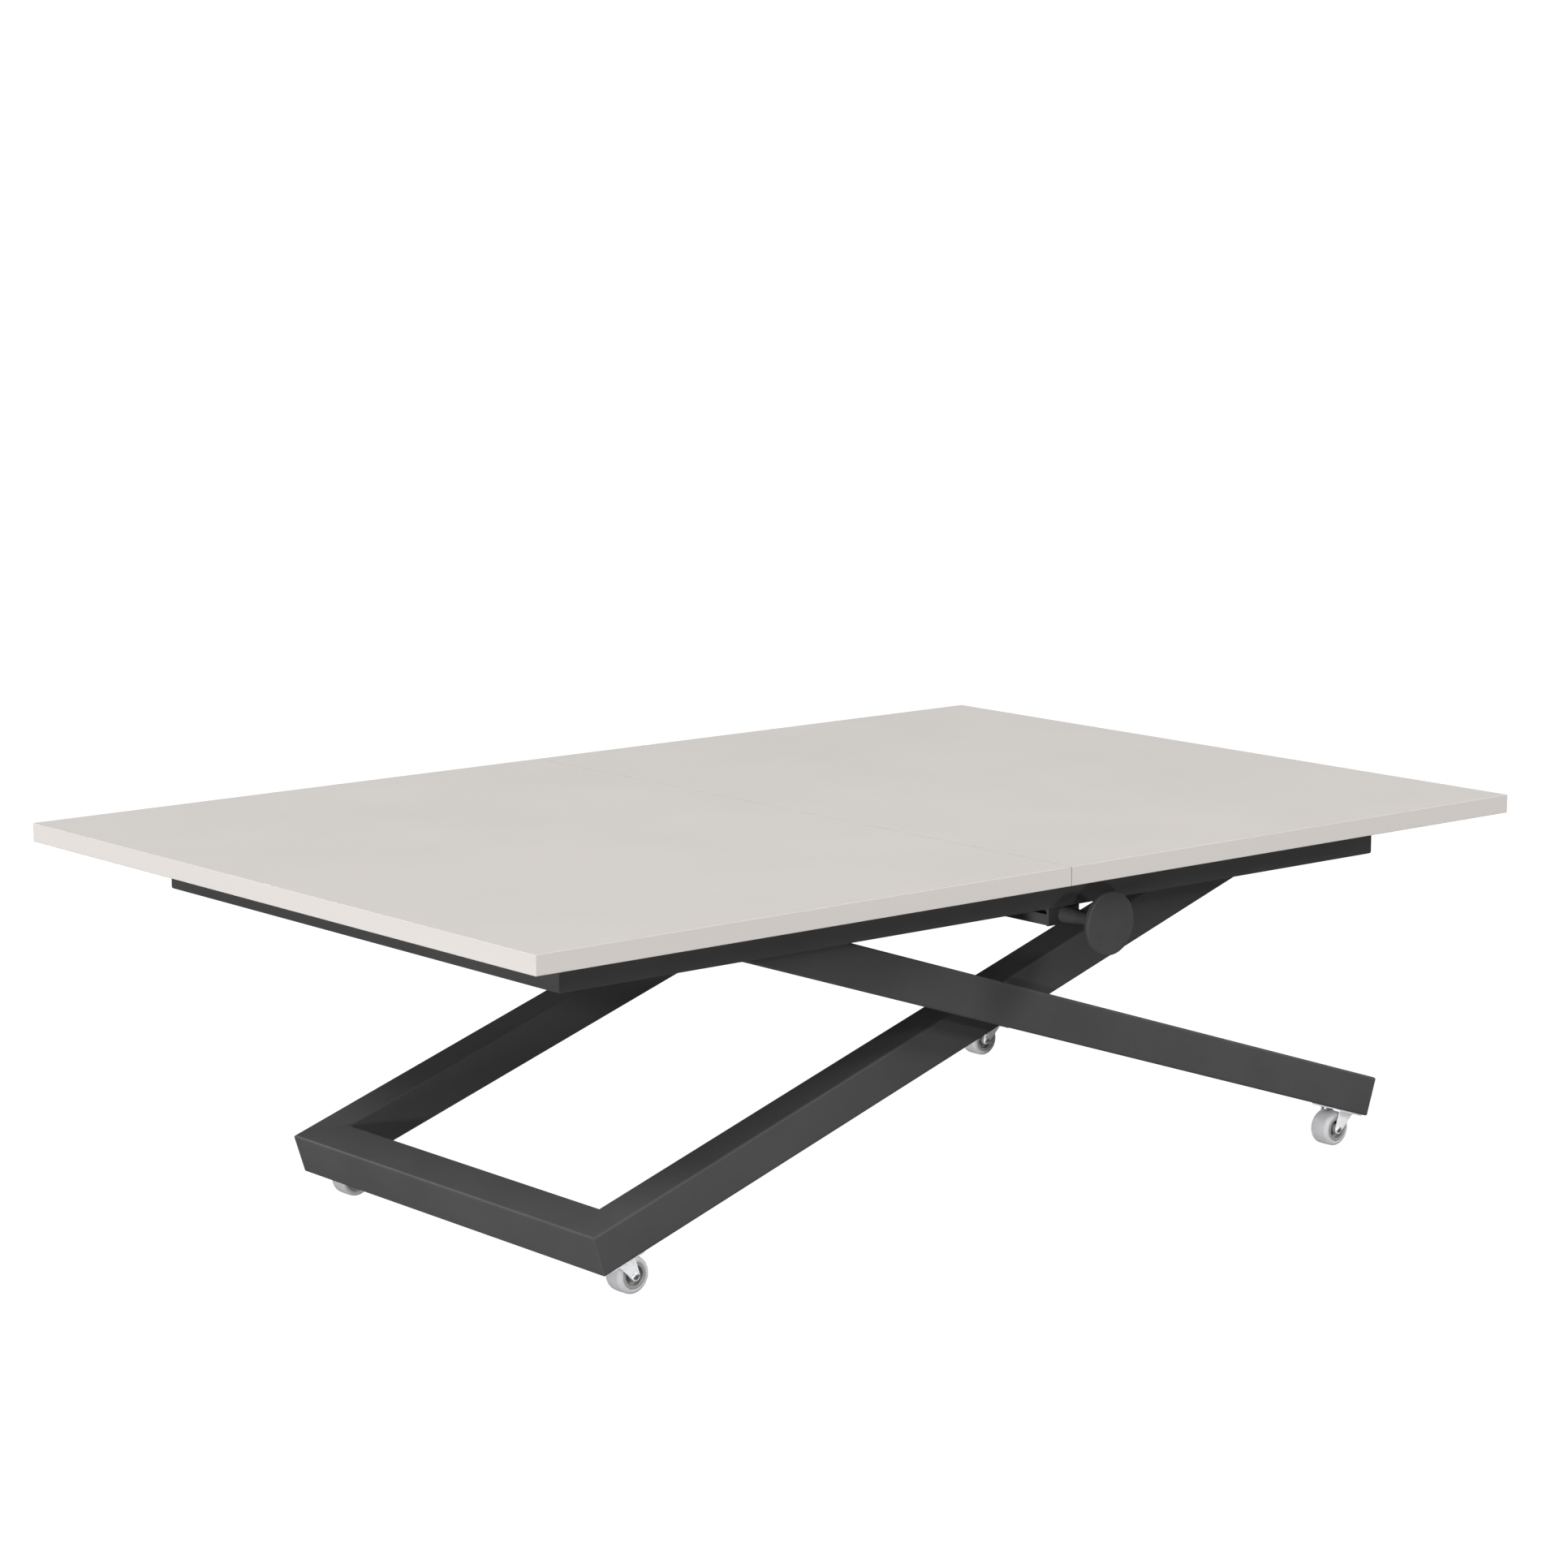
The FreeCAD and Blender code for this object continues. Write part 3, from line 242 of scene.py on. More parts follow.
def addRoom(studio):
    # light from all round whose strength follows the height of the way it comes from
    world = bpy.data.worlds.new("whiteRoom")
    world.use_nodes = True
    nodes, links = world.node_tree.nodes, world.node_tree.links
    where = nodes.new("ShaderNodeTexCoord")
    parts = nodes.new("ShaderNodeSeparateXYZ")
    links.new(where.outputs["Generated"], parts.inputs["Vector"])
    level = nodes.new("ShaderNodeMapRange")  # height -1 to 1 becomes 0 to 1
    level.inputs["From Min"].default_value = -1
    links.new(parts.outputs["Z"], level.inputs["Value"])
    band = nodes.new("ShaderNodeValToRGB")
    stops = band.color_ramp.elements
    heights, strengths = zip(*studio["room"])
    for height in heights[1:-1]:
        stops.new(0.5 + 0.5 * height)
    for stop, height, strength in zip(stops, heights, strengths):
        stop.position = 0.5 + 0.5 * height
        stop.color = (strength, strength, strength, 1)
    links.new(level.outputs["Result"], band.inputs["Fac"])
    links.new(band.outputs["Color"], nodes["Background"].inputs["Strength"])
    nodes["Background"].inputs["Color"].default_value = (1, 1, 1, 1)
    bpy.context.scene.world = world


def addLamps(studio):
    distance = studio["lampDistance"]
    for name, turn, height, size, strength in studio["lights"]:
        lamp = bpy.data.lights.new(name, "AREA")
        lamp.shape = "DISK"
        lamp.size = size
        lamp.energy = strength * (math.pi * distance) ** 2  # a white face turned to it shows the strength
        holder = bpy.data.objects.new(name, lamp)
        turn, height = math.radians(turn), math.radians(height)
        level = math.cos(height)
        way = Vector((-math.sin(turn) * level, -math.cos(turn) * level, math.sin(height)))
        place = Vector(studio["aim"]) + way * distance
        holder.matrix_world = Matrix.Translation(place) @ way.to_track_quat("Z", "Y").to_matrix().to_4x4()
        bpy.context.scene.collection.objects.link(holder)
    bpy.context.scene.view_settings.view_transform = "Standard"


addFloor(studio)
addRoom(studio)
addLamps(studio)
print("studio ready")


# finishes, all on Object coordinates

texture = {
    "span": (0.3, 0.7),  # part of a texture's values that colour and roughness run over
    "patchDetail": 5, "grainDetail": 3, "peelDetail": 2, "reliefHeight": 0.0003,
}


def finish(
        name, colour, drift, roughness, grain,
        peel=None, stretch=None, crystals=False, metal=0.0, specular=0.5):
    # colour drifts (share, scale) over soft patches or crystal cells; roughness runs over a pair with the
    # grain (scale, depth) or the cells; peel is a broader relief under the grain (scale, depth);
    # stretch draws the texture out along an axis
    material = bpy.data.materials.new(name)
    material.use_nodes = True
    nodes, links = material.node_tree.nodes, material.node_tree.links
    shader = nodes["Principled BSDF"]
    shader.inputs["Metallic"].default_value = metal
    shader.inputs["Specular IOR Level"].default_value = specular
    place = nodes.new("ShaderNodeTexCoord").outputs["Object"]
    if stretch:
        drawn = nodes.new("ShaderNodeMapping")
        drawn.inputs["Scale"].default_value = stretch
        links.new(place, drawn.inputs["Vector"])
        place = drawn.outputs["Vector"]

    def noise(scale, detail):
        cloud = nodes.new("ShaderNodeTexNoise")
        cloud.inputs["Scale"].default_value = scale
        cloud.inputs["Detail"].default_value = detail
        links.new(place, cloud.inputs["Vector"])
        return cloud.outputs["Fac"]

    def cells(scale):
        crystal = nodes.new("ShaderNodeTexVoronoi")
        crystal.inputs["Scale"].default_value = scale
        links.new(place, crystal.inputs["Vector"])
        return crystal.outputs["Color"]

    def relief(height, depth, below=None):
        bump = nodes.new("ShaderNodeBump")
        bump.inputs["Strength"].default_value = depth
        bump.inputs["Distance"].default_value = texture["reliefHeight"]
        links.new(height, bump.inputs["Height"])
        if below:
            links.new(below, bump.inputs["Normal"])
        return bump.outputs["Normal"]

    low, high = texture["span"]
    share, scale = drift
    patches = cells(scale) if crystals else noise(scale, texture["patchDetail"])
    shade = nodes.new("ShaderNodeValToRGB")
    deep, pale = shade.color_ramp.elements
    deep.position, pale.position = low, high
    deep.color = [c * (1 - share) for c in colour] + [1]
    pale.color = [min(1, c * (1 + share)) for c in colour] + [1]
    links.new(patches, shade.inputs["Fac"])
    links.new(shade.outputs["Color"], shader.inputs["Base Color"])
    fine = noise(grain[0], texture["grainDetail"])
    gloss = nodes.new("ShaderNodeMapRange")
    gloss.inputs["From Min"].default_value = low
    gloss.inputs["From Max"].default_value = high
    gloss.inputs["To Min"].default_value = roughness[0]
    gloss.inputs["To Max"].default_value = roughness[1]
    links.new(patches if crystals else fine, gloss.inputs["Value"])
    links.new(gloss.outputs["Result"], shader.inputs["Roughness"])
    normal = relief(noise(peel[0], texture["peelDetail"]), peel[1]) if peel else None
    links.new(relief(fine, grain[1], normal), shader.inputs["Normal"])
    return material


finishes = {
    "laminate": finish(
        "greigeLaminate", (0.532, 0.508, 0.484), drift=(0.018, 6), roughness=(0.68, 0.82),
        grain=(1500, 0.12), peel=(300, 0.07), specular=0.05),
    "edge_band": finish(
        "greigeBand", (0.500, 0.474, 0.452), drift=(0.022, 9), roughness=(0.55, 0.70),
        grain=(1300, 0.10), stretch=(0.12, 0.12, 1), specular=0.08),
    "beech": finish(
        "beechDowel", (0.52, 0.33, 0.17), drift=(0.22, 420), roughness=(0.55, 0.7),
        grain=(1500, 0.25), peel=(500, 0.2), stretch=(0.05, 1, 1)),
    "powder_coat": finish(
        "anthraciteCoat", (0.0585, 0.0585, 0.059), drift=(0.06, 14), roughness=(0.44, 0.62),
        grain=(1800, 0.22), peel=(420, 0.18), specular=0.14),
    "zinc": finish(
        "zincPlate", (0.62, 0.63, 0.65), drift=(0.06, 520), roughness=(0.34, 0.48),
        grain=(900, 0.05), crystals=True, metal=1.0),
    "zinc_painted_reflection": finish(  # the forks' zinc is painted nearly white with little metal: a painted reflection of the bright surroundings they would mirror
        "zincPaintedReflection", (0.80, 0.805, 0.815), drift=(0.035, 520), roughness=(0.32, 0.44),
        grain=(900, 0.06), crystals=True, metal=0.15),
    "hard_chrome": finish(
        "chromeRod", (0.80, 0.81, 0.83), drift=(0.02, 60), roughness=(0.06, 0.10),
        grain=(1600, 0.02), metal=1.0),
    "wheel_rubber": finish(
        "greyTread", (0.47, 0.47, 0.483), drift=(0.05, 90), roughness=(0.45, 0.60),
        grain=(1800, 0.12), peel=(420, 0.08), specular=0.3),
    "buffer_rubber": finish(
        "blackRubber", (0.02, 0.02, 0.02), drift=(0.12, 80), roughness=(0.6, 0.75),
        grain=(1600, 0.2), peel=(400, 0.1)),
    "hub_plastic": finish(
        "greyHub", (0.25, 0.247, 0.238), drift=(0.05, 70), roughness=(0.40, 0.52),
        grain=(1500, 0.08), peel=(380, 0.05), specular=0.35),
    "black_plastic": finish(
        "blackMoulding", (0.048, 0.048, 0.049), drift=(0.06, 50), roughness=(0.42, 0.55),
        grain=(1700, 0.10), peel=(600, 0.05), specular=0.2),
    "nylon": finish(
        "whiteNylon", (0.72, 0.72, 0.69), drift=(0.03, 60), roughness=(0.38, 0.5),
        grain=(1500, 0.06), peel=(350, 0.04)),
}
print("finishes ready:", len(finishes))

slotOf = {part["node"]: part["material_slot"] for part in frame["record"]["subparts"]}
# the forks swap their zinc slot for the zinc with a painted reflection
finishOf = {**slotOf, "caster_forks_left": "zinc_painted_reflection", "caster_forks_right": "zinc_painted_reflection"}
for node, item in frame["nodes"].items():
    item.data.materials.clear()
    item.data.materials.append(finishes[finishOf[node]])


def moved(shape, axes=((1, 0, 0), (0, 1, 0), (0, 0, 1)), origin=(0, 0, 0)):
    # rows of axes are the directions that the shape's own x, y and z take
    return shape[0] @ np.asarray(axes, float) + np.asarray(origin, float), shape[1]


def addPiece(name, shapes, *nodes):
    # rides on the body and takes the finish of the first node that it stands for
    body, slot = frame["nodes"][nodes[0]]["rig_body"], slotOf[nodes[0]]
    points = np.vstack([shape[0] for shape in shapes])
    starts = np.cumsum([0] + [len(shape[0]) for shape in shapes]).tolist()
    faces = [[corner + start for corner in face] for shape, start in zip(shapes, starts) for face in shape[1]]
    mesh = bpy.data.meshes.new(name)
    mesh.from_pydata(points.tolist(), [], faces)
    work = bmesh.new()
    work.from_mesh(mesh)
    bmesh.ops.remove_doubles(work, verts=work.verts, dist=weldDistance)
    bmesh.ops.recalc_face_normals(work, faces=work.faces)
    work.to_mesh(mesh)
    work.free()
    mesh.polygons.foreach_set("use_smooth", np.ones(len(mesh.polygons), bool))
    mesh.set_sharp_from_angle(angle=crease)
    mesh.materials.append(finishes[finishOf[nodes[0]]])
    piece = bpy.data.objects.new(name, mesh)
    bpy.context.scene.collection.objects.link(piece)
    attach(piece, body)
    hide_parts(*nodes)


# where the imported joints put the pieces

spot = {joint["name"]: np.array(joint["pos_m"]) for joint in frame["joints"] if "pos_m" in joint}
crossing, hung, slider = spot["cross_pivot"], spot["top_pivot"], spot["front_roller_turn"] * (1, 0, 1)
slant = math.atan2(hung[2] - crossing[2], crossing[0] - hung[0])  # angle of the legs to the floor
legAxes = {  # up the leg, across it, out of its upper face
    "inner": ((math.cos(slant), 0, math.sin(slant)), (0, 1, 0), (-math.sin(slant), 0, math.cos(slant))),
    "outer": ((-math.cos(slant), 0, math.sin(slant)), (0, -1, 0), (math.sin(slant), 0, math.cos(slant))),
}
bothSides = (("front", -1), ("back", 1))
upright = ((1, 0, 0), (0, 0, 1), (0, 1, 0))  # a turned piece's own axis goes up, a plate stands on edge


# leg frames: square tube, mitred at the lower corners

legFrame = {
    "tube": 0.040, "corner": 0.0025, "lowerArm": 0.471, "upperEnd": 0.398,
    "tail": {"inner": 0.036, "outer": 0.030},
    "row": {"inner": abs(spot["wheel_left_front_turn"][1]), "outer": abs(spot["wheel_right_front_turn"][1])},
    "seam": 0.00001, "mitreRound": 0.0014, "mitreSteps": 5,
    "plug": 0.002, "plugRows": ((1, 0), (1, 0.65), (0.985, 0.92), (0.955, 1)),  # shares of section, thickness
    "grip": (0.0179, 0.002, 0.014),  # tongues of a plug: outer face from the tube's middle, wall, depth
    "gripCorner": 0.0005,
}


def addLegFrame(kind, legFrame):
    half, seam, turn = legFrame["tube"] / 2, legFrame["seam"], legFrame["mitreRound"]
    row, top = legFrame["row"][kind], legFrame["upperEnd"]
    foot = -legFrame["lowerArm"] - legFrame["tail"][kind]
    across, up = box2(2 * half, 2 * half, legFrame["corner"], steps=8).T
    axes = legAxes[kind]
    arc = np.linspace(math.pi / 4, quarter, legFrame["mitreSteps"])  # half of the corner's arc for each tube
    bend = np.stack([  # how far out the section reaches, and how far along from the mitre
        half - turn * (1 - np.sin(arc)), turn * (np.cos(arc[0]) - np.cos(arc)),
    ], -1)
    brink = bend[0][0]
    plugs = []
    for end, side in bothSides:
        own = side if kind == "inner" else -side  # side in the frame's own axes
        rows = []
        for reach, shift in bend:  # mitre: one in, one along, with the upright corner ground round
            out = np.minimum(own * across, reach)
            low = foot + half - np.minimum(own * across, brink) + seam + shift
            rows.append(np.stack([low, own * (row + out), up], -1))
        rows.append(np.stack([top + 0 * across, own * row + across, up], -1))
        addPiece(f"{kind}Leg{end.title()}", [moved(swept(rows), axes, crossing)], f"{kind}_leg_{end}")
        rows = []
        for share, along in legFrame["plugRows"]:
            level = top + along * legFrame["plug"]
            rows.append(np.stack([level + 0 * across, own * row + share * across, share * up], -1))
        plugs.append(moved(swept(rows), axes, crossing))
        grip, wall, deep = legFrame["grip"]
        tongue = plate(box2(2 * (grip - wall), wall, legFrame["gripCorner"], steps=4), top - deep, top)
        for face in (-1, 1):
            ways = np.array(((0, 1, 0), (0, 0, 1), (1, 0, 0))) @ np.array(axes)  # across, up, along the leg
            low = crossing + np.array((0, own * row, face * (grip - wall / 2))) @ np.array(axes)
            plugs.append(moved(tongue, ways, low))
    rows = []
    for reach, shift in bend:
        out, low = np.maximum(across, -reach), row - np.maximum(across, -brink) - seam - shift
        rows.append(np.stack([foot + half + out, low, up], -1))
    rows = [section * (1, -1, 1) for section in rows] + rows[::-1]
    addPiece(f"{kind}LowerBar", [moved(swept(rows), axes, crossing)], f"{kind}_lower_bar")
    addPiece(f"{kind}LegPlugs", plugs, f"{kind}_leg_plugs")


for kind in legAxes:
    addLegFrame(kind, legFrame)
print("leg frames ready")


# casters: pressed forks, riveted axles, tyres on moulded hubs

caster = {
    "plate": (0.042, 0.036), "plateCorner": 0.0045, "sheet": 0.0015, "drop": 0.020,
    "armWidth": 0.019, "armEnd": 0.0045, "armFace": 0.0118, "fold": 0.0022,
    "foldClear": 1.2, "foldLean": 0.8, "armCorner": 0.25,  # shares of the fold, and of half the arm's section
    "rivet": {"axle": 0.0025, "head": 0.0036, "high": 0.0012, "rise": 0.25},
    "screw": {
        "head": 0.0036, "high": 0.0020, "reach": 0.017, "flat": 0.72, "rise": 0.3,
        "slot": (0.6, 0.17), "slotDraw": 0.9, "slotDeep": 0.0012, "slotWall": 0.0010,
        "shank": 0.0020, "long": 0.008, "taper": 0.0012, "tip": 0.0006,
    },
}


def forkArm(side, caster):
    # rounded strip carried down from the plate: its width follows the slanted edge, then the circle round
    # the axle, and the strip leans out over the fold next to the plate
    end, wide, fold = caster["armEnd"], caster["armWidth"], caster["fold"]
    axle = np.array([0.0, -caster["drop"]])  # from the leg's lower face above the axle
    top = -caster["sheet"]
    corner = np.array([end - wide, top]) - axle
    lean = math.atan2(corner[1], corner[0]) + math.acos(end / np.linalg.norm(corner))
    touch = axle + end * np.array([math.cos(lean), math.sin(lean)])  # where the slanted edge meets the circle
    heights = np.concatenate([
        top - fold * (1 - np.cos(np.linspace(0, 1, 7) * quarter)),
        np.linspace(top - fold * caster["foldClear"], touch[1], 8),
        axle[1] + end * np.sin(np.linspace(lean - 2 * math.pi, -quarter, 16)[1:]),
    ])
    heights = np.clip(heights, axle[1] - end + weldDistance, top)
    circle = np.sqrt(np.maximum(end ** 2 - (heights - axle[1]) ** 2, 1e-9))
    right = np.where(heights > axle[1], end, circle)
    slope = (touch[0] - end + wide) / (touch[1] - top)
    left = np.where(heights > touch[1], end - wide + slope * (heights - top), -circle)
    near = np.clip((heights - top + fold) / fold, 0, 1)
    out = fold * (1 - np.sqrt(1 - near ** 2)) * caster["foldLean"]
    u, v = box2(2, 2, caster["armCorner"], steps=4).T  # unit section: u across the arm, v through the sheet
    rows = []
    for height, a, b, shift in zip(heights, left, right, out):
        through = caster["armFace"] + caster["sheet"] / 2 * (1 + v) + shift
        rows.append(np.stack([(a + b) / 2 + u * (b - a) / 2, side * through, height + 0 * u], -1))
    return swept(rows)


def panScrew(own):
    # rows from the bottom of the cross slot over the head's elliptic edge and along the shank to its tip
    head, high = own["head"], own["high"]
    slot = crossEdge(*[share * head for share in own["slot"]])
    rise = np.linspace(own["rise"], quarter, 6)
    rows = [(own["slotDeep"] - high, 0), (own["slotWall"] - high, own["slotDraw"] * slot), (-high, slot)]
    rows += [(-high, own["flat"] * head)]
    rows += [(-high * math.cos(a), head * (own["flat"] + (1 - own["flat"]) * math.sin(a))) for a in rise]
    rows += [(0, own["shank"]), (own["long"] - own["taper"], own["shank"]), (own["long"], own["tip"])]
    return turned(rows + [(own["long"], 0)])


def axlePin(caster):
    # two domed heads, each a quarter of an ellipse, on one axle
    own = caster["rivet"]
    face = caster["armFace"] + caster["sheet"] + play
    rise = np.linspace(own["rise"], quarter, 7)
    half = [(face, own["axle"]), (face, own["head"])]
    half += [(face + own["high"] * math.sin(a), own["head"] * math.cos(a)) for a in rise]
    return turned([(-along, radius) for along, radius in reversed(half)] + half, steps=48)


def addCasters(place, kind, caster):
    row, axes = legFrame["row"][kind], legAxes[kind]
    middle = caster["armEnd"] - caster["armWidth"] / 2  # plate's middle from the axle
    outwards = (axes[0], axes[2], axes[1])  # the screw's axis is the leg face's normal
    base = box2(*caster["plate"], caster["plateCorner"]) + (middle, 0)
    forks, screws, pins = [], [], []
    for end, side in bothSides:
        foot = np.array([-legFrame["lowerArm"], 0, -legFrame["tube"] / 2]) @ np.array(axes)
        foot = (crossing + foot) * (1, 0, 1) + (0, side * row, 0)
        forks.append(moved(plate(base, -caster["sheet"], 0), axes, foot))
        forks += [moved(forkArm(hand, caster), axes, foot) for hand in (-1, 1)]
        for step in (-1, 1):
            under = np.array([middle + step * caster["screw"]["reach"], 0, -caster["sheet"]]) @ np.array(axes)
            screws.append(moved(panScrew(caster["screw"]), outwards, foot + under))
        pins.append(moved(axlePin(caster), origin=spot[f"wheel_{place}_{end}_turn"]))
    addPiece(f"casterForks{place.title()}", forks, f"caster_forks_{place}")
    addPiece(f"casterScrews{place.title()}", screws, f"caster_screws_{place}")
    addPiece(f"axlePins{place.title()}", pins, f"axle_pins_{place}")


for place, kind in (("left", "inner"), ("right", "outer")):
    addCasters(place, kind, caster)

wheel = {
    "radius": 0.0175, "half": 0.011, "crown": 0.0002, "crownRound": 0.02, "shoulder": 0.0042,
    "lipRound": 0.0003,
    "rim": 0.0125, "rimWall": 0.003, "recess": 0.006, "boss": 0.0055, "bore": 0.0026, "hubRound": 0.0004,
}


def addWheel(place, end, wheel):
    half, rim, lip, shoulder = wheel["half"], wheel["rim"], wheel["lipRound"], wheel["shoulder"]
    tread = wheel["radius"] - wheel["crown"]
    outline = [(-half, rim), (-half, tread), (0, wheel["radius"]), (half, tread), (half, rim)]
    section = rounded(outline, [lip, shoulder, wheel["crownRound"], shoulder, lip], steps=9)
    tyre = turned(section, steps=96, closed=True)
    inner, deep, boss, bore = rim - wheel["rimWall"], half - wheel["recess"], wheel["boss"], wheel["bore"]
    outline = [
        (-half, bore), (-half, boss), (-deep, boss), (-deep, inner), (-half, inner), (-half, rim),
        (half, rim), (half, inner), (deep, inner), (deep, boss), (half, boss), (half, bore),
    ]
    hub = turned(rounded(outline, wheel["hubRound"], steps=4), steps=72, closed=True)
    centre = spot[f"wheel_{place}_{end}_turn"]
    name = f"{place.title()}{end.title()}"
    addPiece(f"tyre{name}", [moved(tyre, origin=centre)], f"tyre_{place}_{end}")
    addPiece(f"hub{name}", [moved(hub, origin=centre)], f"hub_{place}_{end}")


for place in ("left", "right"):
    for end in ("front", "back"):
        addWheel(place, end, wheel)
print("casters ready")


# release knob: disc on a tapered stem

knob = {
    "radius": 0.030, "thickness": 0.006, "rim": 0.0016, "crown": 0.0001,
    "stem": 0.006, "stemBase": 0.0084, "taper": 0.028,
    "neckRound": 0.004, "baseRound": 0.0006, "taperRound": 0.03, "arcSteps": 8,
}


def addKnob(knob):
    low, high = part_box("release_knob")
    deep = high.y - low.y
    back, stem, disc, rim = deep - knob["thickness"], knob["stem"], knob["radius"], knob["rim"]
    outline = [
        (0, 0), (0, knob["stemBase"]), (knob["taper"], stem), (back, stem), (back, disc),
        (deep - knob["crown"], disc), (deep, 0),
    ]
    rounding = [0, knob["baseRound"], knob["taperRound"], knob["neckRound"], rim, rim, 0]
    steps = knob["arcSteps"]
    profile = rounded(outline, rounding, steps)[steps:-steps]  # without the two corners on the axis
    profile = np.vstack([(0, 0), profile, (deep, 0)])
    outwards = ((1, 0, 0), (0, -1, 0), (0, 0, 1))
    place = (spot["release_turn"][0], high.y, spot["release_turn"][2])
    addPiece("releaseKnob", [moved(turned(profile, steps=128), outwards, place)], "release_knob")


addKnob(knob)
print("knob ready")


# pivots: shoulder bolts with a hex socket, nylon bushes, and the slider bar with its rollers

sideAxes = {"front": ((-1, 0, 0), (0, -1, 0), (0, 0, 1)), "back": ((1, 0, 0), (0, 1, 0), (0, 0, 1))}

pivots = {
    "bolt": {
        "shank": 0.005, "tip": 0.001, "head": 0.009, "high": 0.005,
        "dome": 0.0026, "domeIn": 0.003, "ease": 0.0003,
        "socket": 0.003, "deep": 0.0032, "floor": 0.96, "mouth": 1.06,  # last two are shares of the socket
    },
    "bush": {"bore": 0.00505, "skin": 0.00695, "flange": 0.011, "sheet": 0.0015, "ease": 0.0004},
    "top": {"place": hung, "head": 0.2398, "end": 0.2975, "leg": 0.2616, "collar": 0.0041},
    "cross": {"place": crossing, "head": 0.1950, "end": 0.2536, "leg": 0.2168, "collar": 0.0045},
}


def addPivots(kind, pivots):
    own, bolt, bush = pivots[kind], pivots["bolt"], pivots["bush"]
    start, stop, face = own["head"], own["end"], own["head"] - bolt["high"]
    shank, head, ease, tip = bolt["shank"], bolt["head"], bolt["ease"], bolt["tip"]
    hexagon, deep = hexEdge(bolt["socket"]), face + bolt["deep"]
    lean = np.linspace(0, quarter, 8)  # the head's edge is a quarter of an ellipse
    rise, draw = bolt["dome"] * (1 - np.cos(lean)), bolt["domeIn"] * (1 - np.sin(lean))
    rows = [(deep, 0), (deep, bolt["floor"] * hexagon)]
    rows += [(face + ease, hexagon), (face, bolt["mouth"] * hexagon)]
    rows += np.stack([face + rise, head - draw], -1).tolist()
    rows += [(start - ease, head), (start, head - ease), (start, shank)]
    rows += [(stop - tip, shank), (stop, shank - tip), (stop, 0)]
    pin = turned(rows)
    low, high = own["leg"] - legFrame["tube"] / 2, own["leg"] + legFrame["tube"] / 2
    near, far = low - bush["sheet"], high + own["collar"]
    bore, skin, flange, ease = bush["bore"], bush["skin"], bush["flange"], bush["ease"]
    outline = [
        (near, bore), (near, flange), (low, flange), (low, skin),
        (high, skin), (high, flange), (far, flange), (far, bore),
    ]
    rounds = [ease, ease, sharp, sharp, sharp, sharp, ease, ease]
    ring = turned(rounded(outline, rounds, steps=4), closed=True)
    place = own["place"] * (1, 0, 1)
    bolts = [moved(pin, axes, place) for axes in sideAxes.values()]
    bushes = [moved(ring, axes, place) for axes in sideAxes.values()]
    addPiece(f"{kind}PivotBolts", bolts, f"{kind}_pivot_bolts")
    addPiece(f"{kind}PivotBushes", bushes, f"{kind}_pivot_bushes")


for kind in ("top", "cross"):
    addPivots(kind, pivots)

sliding = {
    "bar": 0.006, "reach": 0.2837, "chamfer": 0.0008, "bore": 0.00605,
    "spacer": 0.009, "spacerRow": (0.2368, 0.2647), "spacerEase": 0.0004,
    "roller": 0.012, "rollerRow": (0.265, 0.281), "rollerEdge": 0.001, "rollerEase": 0.0002,
    "groove": 0.0004, "grooveRings": (0.0078, 0.0082, 0.0100, 0.0104),
}


def addSliding(sliding):
    bar = turned(rod(-sliding["reach"], sliding["reach"], sliding["bar"], sliding["chamfer"]), steps=48)
    addPiece("sliderBar", [moved(bar, origin=slider)], "slider_bar")
    bore, skin = sliding["bore"], sliding["spacer"]
    low, high = sliding["spacerRow"]
    outline = [(low, bore), (low, skin), (high, skin), (high, bore)]
    sleeve = turned(rounded(outline, sliding["spacerEase"], steps=4), steps=48, closed=True)
    addPiece("rollerSpacers", [moved(sleeve, axes, slider) for axes in sideAxes.values()], "roller_spacers")
    low, high = sliding["rollerRow"]
    tread, edge, groove = sliding["roller"], sliding["rollerEdge"], sliding["groove"]
    a, b, c, d = sliding["grooveRings"]
    outline = [
        (low, bore), (low, a), (low + groove, b), (low + groove, c), (low, d),
        (low, tread - edge), (low + edge, tread), (high - edge, tread), (high, tread - edge),
        (high, d), (high - groove, c), (high - groove, b), (high, a), (high, bore),
    ]
    drum = turned(rounded(outline, sliding["rollerEase"], steps=4), closed=True)
    for end, axes in sideAxes.items():
        addPiece(f"roller{end.title()}", [moved(drum, axes, slider)], f"roller_{end}")


addSliding(sliding)
print("pivots and rollers ready")


# under the top: folded tracks, buffers, hangers and release channel

railFace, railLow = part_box("track_back")[1].y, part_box("rail_front")[0].z
underTop = {
    "track": {"wall": 0.002, "deep": 0.024, "high": 0.0286, "bend": 0.0026, "lip": 0.0005},
    "buffer": {"thick": 0.006, "round": 0.0009},
    "hanger": {"wide": 0.040, "high": 0.0185, "sheet": 0.003, "hole": 0.00405, "row": 0.296, "sideSteps": 16},
    "channel": {"wide": 0.040, "wall": 0.002, "high": 0.011, "bend": 0.0024, "lip": 0.0005},
}


def collar(outline, centre, radius, low, high, ease=0.0003):
    # plate with a round hole: rows run up the hole and down the outline, matched by the angle from its centre
    outline = np.asarray(outline, float)
    ray = outline - centre
    hole = centre + ray / np.linalg.norm(ray, axis=1, keepdims=True) * radius
    inner = outline - ease * np.sign(ray)
    rows = [
        (hole, low), (hole, high), (inner, high), (outline, high - ease), (outline, low + ease), (inner, low),
    ]
    points = np.concatenate([np.column_stack([ring, np.full(len(ring), level)]) for ring, level in rows])
    return points, gridFaces(len(rows), len(outline), closedRows=True)


